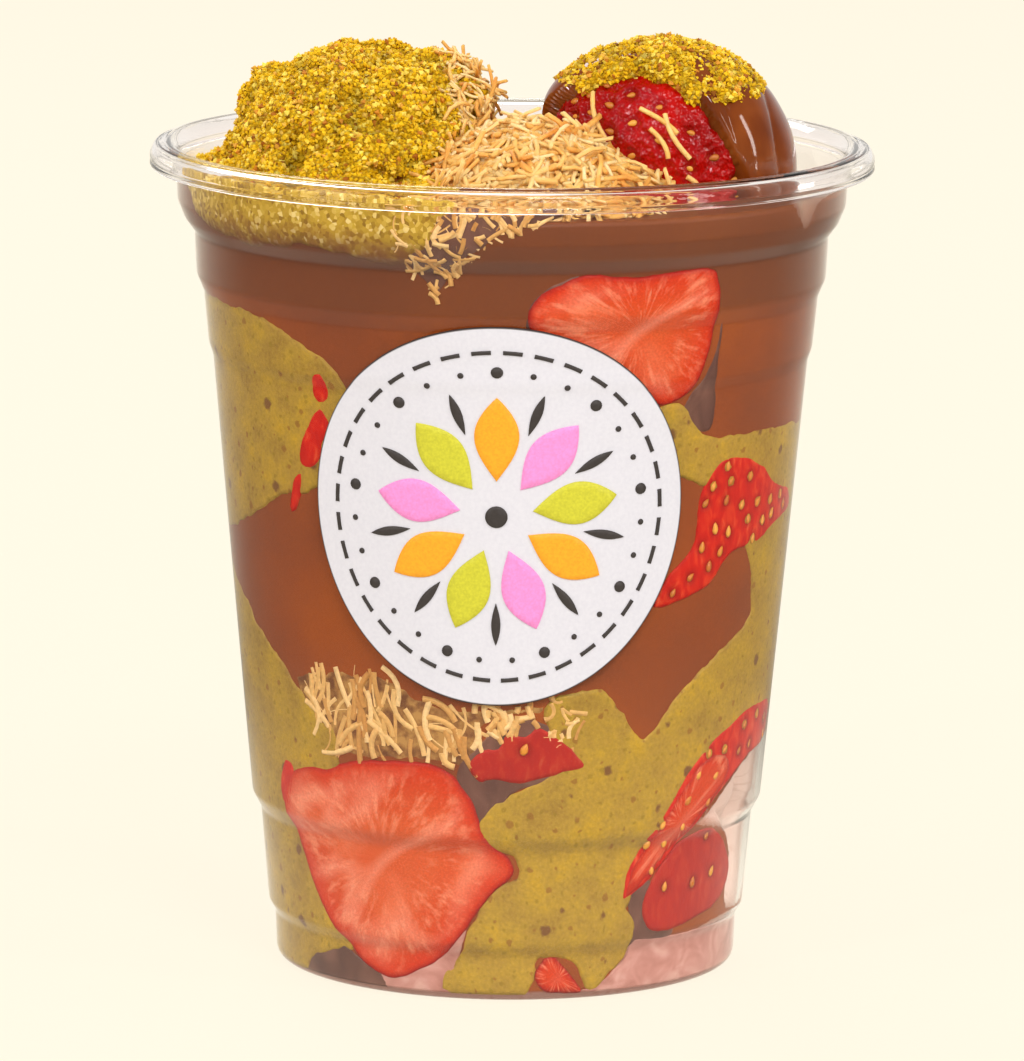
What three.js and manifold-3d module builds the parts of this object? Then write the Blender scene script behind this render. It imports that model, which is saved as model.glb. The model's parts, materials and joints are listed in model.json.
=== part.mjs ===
// Strawberries and chocolate in a clear cup: layers of chocolate, pistachio cream, strawberries
// and toasted pastry shreds, under a heap of pistachio crumbs and a strawberry dipped in chocolate.
// Millimetres, +Z up, the cup stands on z = 0 and its front faces -Y.
import * as THREE from 'three';
import { mergeVertices } from 'three/addons/utils/BufferGeometryUtils.js';
import Module from 'manifold-3d';

const wasm = await Module();
wasm.setup();

// ---- Driving dimensions ------------------------------------------------------------------------

const SIDES = 28; // facets round the cup and its filling
const NEAR_AXIS = 8; // radius where a block that follows the wall is cut off before its core is removed
const CORE_SIDES = 12; // facets round the unseen inner side of each streak of cream
const WALL = 0.7; // thickness of the clear plastic
const GAP = 0.3; // air kept between neighbouring pieces
const FLOOR = 1.6; // inner floor of the cup
const FOOT = { inner: 27.5, outer: 30, rise: 0.9 }; // flat contact ring and the raised middle

// Outer radius and height of each crease of the wall, from the base band up to the flare.
const CREASES = [
  [31.3, 1.6], [31.5, 6.4],
  [32.4, 8.0], [33.5, 20.8],
  [34.7, 23.0], [40.3, 83.0],
  [40.9, 84.8], [41.6, 91.8],
  [42.6, 94.2], [42.9, 100.0],
  [44.3, 101.9], [45.2, 104.2], [45.4, 108.8],
];
const LIP = { radius: 49, top: 112, bottom: 108.7, throat: 45.4 };
const FILL_TOP = 107.6; // highest level of the chocolate, under the lip

const LABEL = { angle: -2.4, height: 67.2, diameter: 51.6, thickness: 0.3, off: 0.12 };

// Top strawberry: lies on its side with its tip up to the left, dipped on the right.
const TOP_BERRY = {
  centre: [20.8, -10, 112.6], length: 32.6, radius: 12.7, tilt: 23, // degrees, tip up
  coat: 1.5, crumbs: 1.2, // thickness of the chocolate and of the crumbs on it
  coatHem: 104.5, // height where the chocolate ends, down in the filling
};

// A heap is a mound on a low skirt that spreads over the filling.
const PISTACHIO_HEAP = { centre: [-20, -4, 103], radii: [20.5, 29, 22.5], skirt: [27, 36, 9] };
const PASTRY_HEAP = { centre: [5, -20, 102], radii: [22, 20, 16], skirt: [24, 19, 8] };
// The plane where the two heaps meet: it leans to the right as it rises and as it goes back.
const HEAP_BORDER = { point: [-15, -42, 103], lean: 25, turn: -6 };

// ---- Small helpers -----------------------------------------------------------------------------

const radians = THREE.MathUtils.degToRad;
const GOLDEN_ANGLE = Math.PI * (3 - Math.sqrt(5)); // spreads points evenly over a mound
const [FRONT_LEFT, FRONT_SPAN] = [radians(205), radians(150)]; // the side of the pastry that is bare

function seededRandom(seed) {
  let state = seed;
  return () => {
    state = (state * 1664525 + 1013904223) % 4294967296;
    return state / 4294967296;
  };
}

function solidOf(geometry) {
  geometry.deleteAttribute('normal');
  geometry.deleteAttribute('uv');
  const merged = mergeVertices(geometry, 1e-4);
  const vertProperties = new Float32Array(merged.attributes.position.array);
  const triVerts = new Uint32Array(merged.index.array);
  return new wasm.Manifold(new wasm.Mesh({ numProp: 3, vertProperties, triVerts }));
}

function geometryOf(solid) {
  const mesh = solid.getMesh();
  const geometry = new THREE.BufferGeometry();
  geometry.setAttribute('position', new THREE.BufferAttribute(mesh.vertProperties, 3));
  geometry.setIndex(new THREE.BufferAttribute(mesh.triVerts, 1));
  const faceted = geometry.toNonIndexed();
  faceted.computeVertexNormals();
  return faceted;
}

// The largest piece of a cut solid, without the scraps that a cut leaves.
function largest(solid) {
  return solid.decompose().reduce((best, piece) => (piece.volume() > best.volume() ? piece : best));
}

// A closed profile of [radius, height] points turned round Z.
function turned(profile, sides = SIDES) {
  const points = profile.map(([radius, height]) => new THREE.Vector2(radius, height));
  const lathe = new THREE.LatheGeometry(points, sides);
  lathe.rotateX(Math.PI / 2);
  return solidOf(lathe);
}

// Place on the cup: angle in degrees to the right of the front, radius and height.
function onCup(angle, radius, height) {
  return [radius * Math.sin(radians(angle)), -radius * Math.cos(radians(angle)), height];
}

function wallRadius(height) {
  const above = CREASES.findIndex(([, z]) => z >= height);
  if (above === 0) return CREASES[0][0];
  if (above < 0) return CREASES[CREASES.length - 1][0];
  const [r0, z0] = CREASES[above - 1];
  const [r1, z1] = CREASES[above];
  return r0 + ((r1 - r0) * (height - z0)) / (z1 - z0);
}

// ---- Cup and label -----------------------------------------------------------------------------

function cupSolid() {
  const outside = [
    [0, FOOT.rise], [FOOT.inner - 1, FOOT.rise], [FOOT.inner, 0], [FOOT.outer, 0], [FOOT.outer + 0.9, 0.5],
    ...CREASES,
  ];
  const { radius, top, bottom, throat } = LIP;
  const lip = [
    [throat + 1.3, top - 0.8], [radius - 1.3, top - 0.8], [radius - 0.8, top - 1.7],
    [radius - 0.8, bottom], [radius - 0.2, bottom], [radius, top - 1.7],
    [radius - 1.3, top], [throat + 1, top], [throat - WALL, top - 2.2],
  ];
  const inside = CREASES.slice(1, -1).reverse().map(([r, z]) => [r - WALL, z]);
  const floor = [[FOOT.outer, FLOOR], [0, FLOOR + 0.2]];
  return turned([...outside, ...lip, ...inside, ...floor]);
}

// The space inside the cup, kept clear of its wall and open upwards above the lip.
function insideSolid(top) {
  const clearance = WALL + GAP;
  const wall = CREASES.slice(1).filter(([, z]) => z < top).map(([r, z]) => [r - clearance, z]);
  const rim = LIP.throat - clearance;
  const base = [[0, FLOOR + 0.5], [FOOT.outer - 0.2, FLOOR + GAP]];
  return turned([...base, ...wall, [Math.min(rim, wallRadius(top) - clearance), top], [0, top]]);
}

// A round sticker bent round the cone of the wall, built from upright strips.
function labelSolid() {
  const strips = 20;
  const reach = LABEL.diameter / 2;
  const low = [wallRadius(LABEL.height - reach), LABEL.height - reach];
  const high = [wallRadius(LABEL.height + reach), LABEL.height + reach];
  const lean = (high[0] - low[0]) / (high[1] - low[1]);
  const positions = [];
  const indices = [];
  const middle = wallRadius(LABEL.height);
  for (let i = 0; i <= strips; i++) {
    const across = -Math.cos((Math.PI * i) / strips);
    const half = Math.max(reach * Math.sqrt(1 - across * across), 0.4);
    const angle = LABEL.angle + THREE.MathUtils.radToDeg((across * reach) / middle);
    for (const height of [LABEL.height - half, LABEL.height + half]) {
      const radius = low[0] + lean * (height - low[1]) + LABEL.off;
      positions.push(...onCup(angle, radius, height), ...onCup(angle, radius + LABEL.thickness, height));
    }
  }
  const quad = (a, b, c, d) => indices.push(a, b, c, a, c, d);
  for (let i = 0; i < strips; i++) {
    const [backLow, frontLow, backHigh, frontHigh] = [0, 1, 2, 3].map((k) => 4 * i + k);
    quad(frontLow, frontLow + 4, frontHigh + 4, frontHigh);
    quad(backLow, backHigh, backHigh + 4, backLow + 4);
    quad(backLow, backLow + 4, frontLow + 4, frontLow);
    quad(backHigh, frontHigh, frontHigh + 4, backHigh + 4);
  }
  const last = 4 * strips;
  quad(0, 1, 3, 2);
  quad(last, last + 2, last + 3, last + 1);
  const geometry = new THREE.BufferGeometry();
  geometry.setAttribute('position', new THREE.Float32BufferAttribute(positions, 3));
  geometry.setIndex(indices);
  return solidOf(geometry);
}

// ---- Pieces that show through the wall ---------------------------------------------------------

// An outline of [angle, height] points, anticlockwise seen from outside, with each corner moved
// outwards by `grow` millimetres.
function grownOutline(outline, grow) {
  const scale = radians(1) * wallRadius(60);
  const flat = outline.map(([angle, height]) => new THREE.Vector2(angle * scale, height));
  if (THREE.ShapeUtils.isClockWise(flat)) flat.reverse();
  const sharpest = 0.2; // keeps the grown tip of a narrow corner from running far out
  return flat.map((corner, i) => {
    const before = flat[(i + flat.length - 1) % flat.length];
    const after = flat[(i + 1) % flat.length];
    const arriving = corner.clone().sub(before).normalize();
    const leaving = after.clone().sub(corner).normalize();
    const mitre = grow / Math.max(1 + arriving.dot(leaving), sharpest);
    const along = arriving.add(leaving).multiplyScalar(mitre);
    return [(corner.x + along.y) / scale, corner.y - along.x];
  });
}

// A block from beyond the wall to `depth` inside it, with the outline's shape seen from outside.
// `taper` shrinks its inner end, which gives a piece of fruit its rounded back. Without it the
// inner side follows the wall.
function wallBlock({ outline, depth, taper = 1 }, grow = 0) {
  const beyond = 110;
  const ring = grownOutline(outline, grow);
  const count = ring.length;
  const middle = ring.reduce(([a, h], [angle, height]) => [a + angle / count, h + height / count], [0, 0]);
  const skin = wallRadius(middle[1]) - WALL;
  const shrunk = ring.map(([angle, height]) => [
    middle[0] + (angle - middle[0]) * taper,
    middle[1] + (height - middle[1]) * taper,
  ]);
  const layers = [ring.map(([angle, height]) => onCup(angle, beyond, height))];
  if (taper < 1) {
    const belly = skin - 0.55 * (depth + grow); // the fruit keeps its full outline as far in as this
    layers.push(ring.map(([angle, height]) => onCup(angle, belly, height)));
  }
  const innerEnd = taper < 1 ? skin - depth - grow : NEAR_AXIS;
  layers.push(shrunk.map(([angle, height]) => onCup(angle, innerEnd, height)));
  const indices = [];
  const last = (layers.length - 1) * count;
  const flat = ring.map(([angle, height]) => new THREE.Vector2(angle, height));
  for (const [a, b, c] of THREE.ShapeUtils.triangulateShape(flat, [])) {
    indices.push(a, b, c);
    indices.push(last + a, last + c, last + b);
  }
  for (let near = 0; near < last; near += count) {
    for (let i = 0; i < count; i++) {
      const j = (i + 1) % count;
      indices.push(near + i, near + count + i, near + count + j);
      indices.push(near + i, near + count + j, near + j);
    }
  }
  const geometry = new THREE.BufferGeometry();
  geometry.setAttribute('position', new THREE.Float32BufferAttribute(layers.flat(2), 3));
  geometry.setIndex(indices);
  const block = solidOf(geometry);
  return taper < 1 ? block : block.subtract(core(depth + grow));
}

// What lies further than `depth` inside the wall, as a plain cone.
function core(depth) {
  const [low, high] = [0, 120];
  const slope = (wallRadius(83) - wallRadius(23)) / (83 - 23);
  const radiusAt = (height) => wallRadius(23) + slope * (height - 23) - WALL - depth;
  return turned([[0, low], [radiusAt(low), low], [radiusAt(high), high], [0, high]], CORE_SIDES);
}

// Outlines as [angle, height]: degrees to the right of the front, millimetres above the table.
const STRAWBERRIES = {
  strawberry_upper: {
    depth: 13, taper: 0.55,
    outline: [[3, 93], [4, 96.5], [8, 98.5], [14, 100], [22, 99.4], [30, 99.8], [39, 99.6], [41, 94],
      [40, 88], [37, 83.5], [31, 81.5], [24, 83], [15, 86], [8, 90]],
  },
  strawberry_right: {
    depth: 14, taper: 0.6,
    outline: [[31, 54], [38, 54.5], [45, 56], [52, 60], [61, 60.5], [70, 62.5], [79, 63.5], [77, 66.5],
      [67, 68.5], [60, 71.5], [53, 73.3], [46, 73], [41, 69], [40, 62], [34, 58]],
  },
  strawberry_lower_left: {
    depth: 15, taper: 0.5,
    outline: [[-41, 32.5], [-33, 34.2], [-20, 34], [-13, 32], [-8, 28], [-4, 23], [1, 20], [2, 17.8],
      [-3, 15], [-8, 11], [-14, 6.5], [-21, 3.8], [-29, 2.2], [-36, 3.4], [-44, 7], [-51, 12],
      [-56, 18], [-60, 24], [-57, 28.5], [-49, 30.6]],
  },
  strawberry_lower_right: {
    depth: 13, taper: 0.6,
    outline: [[80, 37], [66, 37.6], [58, 36.2], [50, 34], [43, 30], [37, 25], [32, 20.5], [29, 16.5],
      [29, 13.4], [36, 16], [43, 20], [50, 24], [59, 28], [68, 30.5], [80, 32]],
  },
  strawberry_bottom_right: {
    depth: 15, taper: 0.6,
    outline: [[46, 21.2], [54, 22], [61, 20], [66, 16.5], [67, 13.5], [63, 11], [55, 9.6], [46, 8.6],
      [38, 8.6], [34.5, 11], [35.5, 14.8], [40, 18.3]],
  },
  strawberry_centre: {
    depth: 10, taper: 0.7,
    outline: [[-7, 33.4], [-4, 36], [2, 38], [8, 37.6], [13, 35], [15, 33], [9, 32], [2, 31.4],
      [-3, 31.6]],
  },
  strawberry_bottom: {
    depth: 9, taper: 0.7,
    outline: [[7, 4.6], [11, 6.4], [15, 5.6], [19, 3], [17, 2.2], [10, 2.2]],
  },
  strawberry_left: {
    depth: 9, taper: 0.7,
    outline: [[-38, 83.5], [-36, 81.5], [-39, 76], [-43, 71.5], [-48, 68.6], [-50, 70], [-47, 75],
      [-43, 80.5]],
  },
  strawberry_back_upper: {
    depth: 14, taper: 0.55,
    outline: [[150, 78], [158, 86], [170, 91], [184, 90], [194, 84], [197, 77], [190, 70], [176, 66],
      [160, 69]],
  },
  strawberry_back_middle: {
    depth: 14, taper: 0.6,
    outline: [[212, 50], [218, 58], [228, 63], [240, 62], [250, 55], [252, 46], [244, 38], [232, 35],
      [220, 40]],
  },
  strawberry_back_lower: {
    depth: 15, taper: 0.55,
    outline: [[142, 18], [146, 27], [156, 33], [170, 34], [184, 29], [191, 20], [186, 11], [172, 5],
      [158, 6], [147, 11]],
  },
  strawberry_back_side: {
    depth: 13, taper: 0.6,
    outline: [[108, 46], [112, 54], [122, 58], [134, 54], [138, 46], [132, 38], [120, 35], [111, 39]],
  },
};

const CREAMS = {
  pistachio_cream_left: {
    depth: 14,
    outline: [[-100, 90], [-80, 92], [-60, 91.5], [-50, 90.5], [-43, 88.5], [-36, 86], [-32.5, 82],
      [-34, 75], [-41, 69.5], [-50, 67.8], [-60, 65], [-71, 62], [-84, 60.2], [-100, 58], [-114, 62],
      [-120, 72], [-114, 84]],
  },
  pistachio_cream_lower_left: {
    depth: 14,
    outline: [[-96, 57], [-83, 54], [-72, 51], [-65, 47.5], [-57, 44], [-52, 41.5], [-45, 37],
      [-40, 33], [-40, 8], [-45, 5.4], [-56, 3.4], [-62, 2.1], [-84, 2.1], [-106, 2.1], [-118, 9],
      [-114, 22], [-122, 34], [-112, 48]],
  },
  pistachio_cream_right: {
    depth: 14,
    outline: [[9, 41.3], [19, 43], [24, 40.5], [31, 35.4], [38, 40.5], [44, 43.4], [59, 49.4], [62, 53],
      [55, 63], [46, 69], [36, 71.5], [31, 75.5], [28, 80.4], [34, 81.4], [38, 78.6], [45, 76.2],
      [76, 75.4], [92, 73], [104, 66], [100, 54], [106, 44], [96, 37], [78, 36], [62, 33], [50, 30],
      [41, 24], [33, 20], [29, 16.5], [31, 14], [29, 12.3], [32, 10.2], [31, 6.2], [26, 3.4], [21, 2.2],
      [17, 5.4], [8, 6.2], [5, 2.1], [-13.5, 2.1], [-15, 3.2], [-12, 5], [-7, 11.4], [-2, 15.4],
      [3, 17.2], [2, 20.4], [-5, 22], [-5, 25], [-2, 27.6], [12, 32], [15, 33.4], [11, 36]],
  },
  pistachio_cream_back: {
    depth: 13,
    outline: [[128, 66], [140, 64], [152, 58], [166, 56], [178, 50], [190, 52], [204, 62], [214, 72],
      [226, 76], [232, 84], [220, 91], [208, 86], [200, 72], [188, 62], [174, 62], [160, 66], [146, 74],
      [132, 76]],
  },
  pistachio_cream_back_lower: {
    depth: 13,
    outline: [[198, 2.1], [198, 12], [205, 20], [203, 30], [192, 38], [176, 42], [158, 40], [148, 36],
      [166, 37.5], [188, 33], [196, 21], [191, 10], [184, 2.1]],
  },
};

// Toasted pastry shreds pressed against the wall under the label.
const PASTRY_PATCH = {
  depth: 10,
  outline: [[-53, 43], [-46, 44.6], [-38, 45.4], [-25, 45.2], [-18, 42.6], [-8, 41.4], [0, 42],
    [9, 42.2], [8, 39], [2, 39], [-4, 37.4], [-7, 34.2], [-20, 34.6], [-34, 34.6], [-42, 35],
    [-47, 38.5]],
};

// Where crumbs and shreds have slipped down between the chocolate and the wall, under the lip.
const CRUMB_WEDGE = {
  depth: 22,
  outline: [[-66, 112], [-64, 105], [-61, 103], [-52, 101.6], [-44, 103], [-36, 104], [-28, 102],
    [-20, 102], [-17, 112]],
};
const PASTRY_WEDGE = {
  depth: 14,
  outline: [[-19, 110], [-18, 100], [-16, 98], [-13, 96], [-11, 98], [-9, 100.6], [-5, 104.6],
    [2, 107.4], [4, 110]],
};

// Air against the wall: the space over the filling at the right and back, and gaps in the filling.
const AIR_NOTCHES = [
  { depth: 12, outline: [[51, 112], [54, 104.2], [58, 102.4], [64, 104.2], [71, 105.8], [78, 112]] },
  { depth: 12, outline: [[100, 112], [106, 104], [130, 103], [160, 104], [172, 112]] },
  { depth: 9, outline: [[47, 22.8], [52, 24.6], [62, 29], [70, 31], [84, 32], [94, 27], [92, 16],
    [84, 9.5], [72, 8.5], [66, 10.5], [66, 17], [60, 21]] },
  { depth: 5, outline: [[34, 7.6], [46, 7.8], [60, 9], [74, 7], [80, 3], [60, 2.4], [40, 2.4]] },
];
const AIR_BOWL = { centre: [24, 20, 113.4], radii: [27, 25, 11] };

function wallPiece(block, cutters) {
  const shaped = wallBlock(block).intersect(inside);
  return largest(cutters.reduce((rest, cutter) => rest.subtract(cutter), shaped));
}

// ---- Pieces that stand out of the top ----------------------------------------------------------

function ellipsoid({ centre, radii }, grow = 0, [around, down] = [18, 10]) {
  const sphere = new THREE.SphereGeometry(1, around, down);
  sphere.rotateX(Math.PI / 2);
  sphere.scale(...radii.map((radius) => radius + grow));
  sphere.translate(...centre);
  return solidOf(sphere);
}

// A mound on its skirt, flat underneath where it lies in the filling.
function mound({ centre, radii, skirt }, grow = 0) {
  const [x, y, z] = centre;
  const whole = ellipsoid({ centre, radii }, grow).add(ellipsoid({ centre, radii: skirt }, grow));
  return whole.intersect(block([120, 120, 60], [x, y, z + 29 - grow]));
}

// Everything on one side of the border between the two heaps: 1 for the pastry, -1 for the crumbs.
function borderSide(sign) {
  const { point, lean, turn } = HEAP_BORDER;
  const half = 90;
  const normal = new THREE.Vector3(1, 0, 0)
    .applyAxisAngle(new THREE.Vector3(0, 1, 0), radians(lean))
    .applyAxisAngle(new THREE.Vector3(0, 0, 1), radians(turn));
  const centre = point.map((part, axis) => part + sign * (half + GAP / 2) * normal.getComponent(axis));
  return block([2 * half, 2 * half, 2 * half], centre, [0, lean, turn]);
}

// A strawberry lying along X: rounded shoulder at the right end, long taper to the tip at the left.
function topBerry(grow = 0) {
  const { centre, length, radius, tilt } = TOP_BERRY;
  const steps = 9;
  const profile = [];
  for (let i = 0; i <= steps; i++) {
    const along = i / steps;
    const shape = Math.sin(Math.PI * (1 - along) ** 0.92) ** 0.54;
    profile.push([i % steps === 0 ? 0 : (radius + grow) * shape, (along - 0.5) * (length + 2 * grow)]);
  }
  const points = profile.map(([r, along]) => new THREE.Vector2(r, along));
  const lathe = new THREE.LatheGeometry(points, 16);
  lathe.rotateZ(-Math.PI / 2);
  lathe.scale(1, 0.96, 1.04);
  lathe.rotateY(radians(tilt));
  lathe.translate(...centre);
  return solidOf(lathe);
}

function block(size, centre, [aboutX, aboutY, aboutZ] = [0, 0, 0]) {
  const box = new THREE.BoxGeometry(...size);
  box.rotateX(radians(aboutX));
  box.rotateY(radians(aboutY));
  box.rotateZ(radians(aboutZ));
  box.translate(...centre);
  return solidOf(box);
}

// The chocolate left on the top strawberry, open in front where the red skin shows.
function topCoat(grow = 0) {
  const { centre, coat } = TOP_BERRY;
  const window = block([26, 30, 24], [centre[0] - 6, centre[1] - 14, centre[2] + 0.8], [0, 27, 8]);
  const below = block([80, 80, 40], [centre[0], centre[1], TOP_BERRY.coatHem - 20]);
  return largest(topBerry(coat + grow).subtract(topBerry(GAP)).subtract(window).subtract(below));
}

function topCrumbs() {
  const { centre, coat, crumbs } = TOP_BERRY;
  const shell = topBerry(coat + crumbs).subtract(topBerry(coat + GAP));
  const cap = block([32, 30, 20], [centre[0] - 1, centre[1] + 4, centre[2] + 20], [-14, 12, 0]);
  return largest(shell.intersect(cap));
}

// Lumps the size of the crumbs' clumps, spread evenly over the upper side of a mound.
function clumps({ centre, radii }, count, size, seed) {
  const random = seededRandom(seed);
  const lumps = [];
  for (let i = 0; i < count; i++) {
    const height = 1 - (0.92 * (i + 0.5)) / count;
    const angle = i * GOLDEN_ANGLE;
    const spread = Math.sqrt(1 - height * height);
    const place = [Math.cos(angle) * spread, Math.sin(angle) * spread, height];
    const lump = new THREE.OctahedronGeometry(size * (0.7 + 0.6 * random()));
    lump.rotateX(3 * random());
    lump.rotateZ(3 * random());
    lump.translate(...place.map((part, axis) => centre[axis] + part * (radii[axis] - 0.3 * size)));
    lumps.push(solidOf(lump));
  }
  return lumps;
}

// Straight shreds of pastry lying every way over a mound, each half sunk in it.
function shreds({ centre, radii }, count, seed) {
  const random = seededRandom(seed);
  const strips = [];
  for (let i = 0; i < count; i++) {
    const height = 0.98 - (0.7 * (i + 0.5)) / count;
    const angle = FRONT_LEFT + ((i * GOLDEN_ANGLE) % FRONT_SPAN);
    const spread = Math.sqrt(1 - height * height);
    const normal = new THREE.Vector3(Math.cos(angle) * spread, Math.sin(angle) * spread, height);
    const strip = new THREE.BoxGeometry(8 + 5 * random(), 1.3, 1.3);
    strip.rotateZ(Math.PI * random());
    strip.applyQuaternion(new THREE.Quaternion().setFromUnitVectors(new THREE.Vector3(0, 0, 1), normal));
    strip.translate(...normal.toArray().map((part, axis) => centre[axis] + part * (radii[axis] + 0.2)));
    strips.push(solidOf(strip));
  }
  return strips;
}

function joined(solids) {
  return solids.reduce((sum, solid) => sum.add(solid));
}

// ---- Build -------------------------------------------------------------------------------------

const inside = insideSolid(140);
const filled = insideSolid(FILL_TOP);

const berry = topBerry();
const coat = topCoat();
const crumbCap = topCrumbs();
const topBlock = topBerry(TOP_BERRY.coat + GAP).add(topCrumbs());

const overFill = block([120, 120, 60], [0, 0, FILL_TOP + GAP + 30]);

// A heap: its mound, what slipped down the wall, and loose pieces standing on it over the filling.
function heap(shape, wedge, loose, side) {
  const standing = joined(loose).intersect(overFill);
  const whole = joined([mound(shape), wallBlock(wedge), standing]).intersect(inside);
  return largest(whole.intersect(borderSide(side)).subtract(topBlock));
}

const pastryHeap = heap(PASTRY_HEAP, PASTRY_WEDGE, shreds(PASTRY_HEAP, 16, 5), 1);
const pistachioHeap = heap(PISTACHIO_HEAP, CRUMB_WEDGE, clumps(PISTACHIO_HEAP, 26, 2.8, 3), -1);
const heapClear = joined([
  topBlock, mound(PISTACHIO_HEAP, GAP), mound(PASTRY_HEAP, GAP), wallBlock(CRUMB_WEDGE, GAP),
  wallBlock(PASTRY_WEDGE, GAP),
]);

const group = new THREE.Group();

function addPiece(name, solid, color, roughness, options = {}) {
  const material = new THREE.MeshStandardMaterial({ color, roughness, metalness: 0, ...options });
  const mesh = new THREE.Mesh(geometryOf(solid), material);
  mesh.name = name;
  group.add(mesh);
}

addPiece('cup', cupSolid(), 0xe6dedd, 0.15, { transparent: true, opacity: 0.35 });
addPiece('label', labelSolid(), 0xe8e4e8, 0.55);

const berryCuts = [];
for (const [name, block] of Object.entries(STRAWBERRIES)) {
  addPiece(name, wallPiece(block, [topBlock]), 0xd8362a, 0.4);
  berryCuts.push(wallBlock(block, GAP));
}
const pastryPatch = wallPiece(PASTRY_PATCH, berryCuts);
addPiece('pastry_patch', pastryPatch, 0xe0b070, 0.8);
const softCuts = [...berryCuts, wallBlock(PASTRY_PATCH, GAP)];
const creamCuts = [];
for (const [name, block] of Object.entries(CREAMS)) {
  addPiece(name, wallPiece(block, softCuts), 0xb9a04a, 0.55);
  creamCuts.push(wallBlock(block, GAP));
}

const air = joined([...AIR_NOTCHES.map((notch) => wallBlock(notch)), ellipsoid(AIR_BOWL)]);
const chocolate = largest(filled.subtract(joined([...softCuts, ...creamCuts, air, heapClear])));
addPiece('chocolate', chocolate, 0x7d4a33, 0.35);

addPiece('pastry_heap', pastryHeap, 0xe3b679, 0.8);
addPiece('pistachio_heap', pistachioHeap, 0xb79a2c, 0.9);
addPiece('top_strawberry', berry, 0xb3161a, 0.25);
addPiece('chocolate_coat', coat, 0x7a4420, 0.2);
addPiece('top_crumbs', crumbCap, 0xc0a340, 0.9);

export default group;
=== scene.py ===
# %% [markdown]
# # Strawberries and chocolate in a clear cup
# A clear plastic cup is filled with chocolate cream, streaks of pistachio cream, strawberries and
# toasted pastry shreds. A heap of pistachio crumbs, a heap of shreds and a strawberry dipped in
# chocolate stand out of the top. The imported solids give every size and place. This script makes
# the fine surfaces: what touches the wall is pressed flat against it, what stands out is rough.

# %% Load the frame
import json
import math
import bmesh
import bpy
import numpy as np
from mathutils import Matrix, Vector, noise
from mathutils.geometry import delaunay_2d_cdt
from mathutils.kdtree import KDTree

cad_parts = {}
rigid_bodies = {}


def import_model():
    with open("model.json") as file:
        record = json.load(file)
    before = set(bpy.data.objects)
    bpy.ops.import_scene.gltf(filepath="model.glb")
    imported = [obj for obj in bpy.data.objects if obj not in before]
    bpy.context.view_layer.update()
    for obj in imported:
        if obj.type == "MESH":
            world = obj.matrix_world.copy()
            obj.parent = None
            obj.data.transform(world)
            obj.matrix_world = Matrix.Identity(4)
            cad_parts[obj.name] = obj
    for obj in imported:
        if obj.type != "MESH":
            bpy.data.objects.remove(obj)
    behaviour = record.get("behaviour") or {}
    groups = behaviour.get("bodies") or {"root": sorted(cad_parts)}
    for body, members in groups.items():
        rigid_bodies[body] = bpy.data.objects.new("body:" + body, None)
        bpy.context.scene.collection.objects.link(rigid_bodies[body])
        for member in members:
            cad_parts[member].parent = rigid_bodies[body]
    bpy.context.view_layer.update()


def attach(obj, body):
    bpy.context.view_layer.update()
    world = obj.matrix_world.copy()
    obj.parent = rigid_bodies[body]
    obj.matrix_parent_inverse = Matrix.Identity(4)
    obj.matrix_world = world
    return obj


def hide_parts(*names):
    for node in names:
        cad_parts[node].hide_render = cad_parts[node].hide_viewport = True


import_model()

# %% [markdown]
# ## Camera, floor and light
# A long lens looks down a little at the cup, as a product photographer would stand back and zoom
# in. The pale floor fills the view, and shines a little itself so that it stays even. A soft key
# light stands above the camera. Weaker ones at both sides, low in front and behind open the
# shadows, and a small hard one adds the glints that wet food has.

# %% Camera
MM = 0.001
CAMERA_PLACE = (0.00044, -1.2188, 0.2707)
CAMERA_DOWN = math.radians(9.87)
CAMERA_ROLL = 0.0095
VIEW_HEIGHT = math.radians(6.680)

camera_data = bpy.data.cameras.new("camera")
camera_data.sensor_fit = "VERTICAL"
camera_data.lens = 0.5 * camera_data.sensor_height / math.tan(0.5 * VIEW_HEIGHT)
camera_data.clip_end = 30
camera = bpy.data.objects.new("camera", camera_data)
camera.matrix_world = (
    Matrix.Translation(CAMERA_PLACE)
    @ Matrix.Rotation(math.pi / 2 - CAMERA_DOWN, 4, "X")
    @ Matrix.Rotation(CAMERA_ROLL, 4, "Z")
)
bpy.context.scene.collection.objects.link(camera)
bpy.context.scene.camera = camera
print("lens in mm:", round(camera_data.lens, 1))

# %% [markdown]
# Materials and Geometry Nodes trees are both made of nodes, so one small function adds a node with
# its own settings and its inputs. Colours are written as sRGB hex values, as a paint card gives
# them, and one function turns them to the linear values that shaders need.

# %% Node and colour helpers
def linear(hex_colour):
    channels = [int(hex_colour[i:i + 2], 16) / 255 for i in (1, 3, 5)]
    return [c / 12.92 if c <= 0.04045 else ((c + 0.055) / 1.055) ** 2.4 for c in channels] + [1.0]


def add(tree, kind, inputs=None, stops=None, **settings):
    """Add a node. Inputs are named or numbered, and take a value or another node's output."""
    node = tree.nodes.new(kind)
    for key, value in settings.items():
        setattr(node, key, value)
    for key, value in (inputs or {}).items():
        socket = node.inputs[key]
        if isinstance(value, bpy.types.NodeSocket):
            tree.links.new(value, socket)
        else:
            socket.default_value = value
    if stops:
        ramp = node.color_ramp.elements
        while len(ramp) < len(stops):
            ramp.new(0.5)
        for element, (place, hex_colour) in zip(ramp, stops):
            element.position = place
            element.color = linear(hex_colour)
    return node


def new_material(name):
    material = bpy.data.materials.new(name)
    material.use_nodes = True
    material.node_tree.nodes.clear()
    return material, material.node_tree


def per_mm(size_mm):
    """Scale of a texture node on Object coordinates, for a pattern of that size."""
    return 1 / (size_mm * MM)


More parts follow.
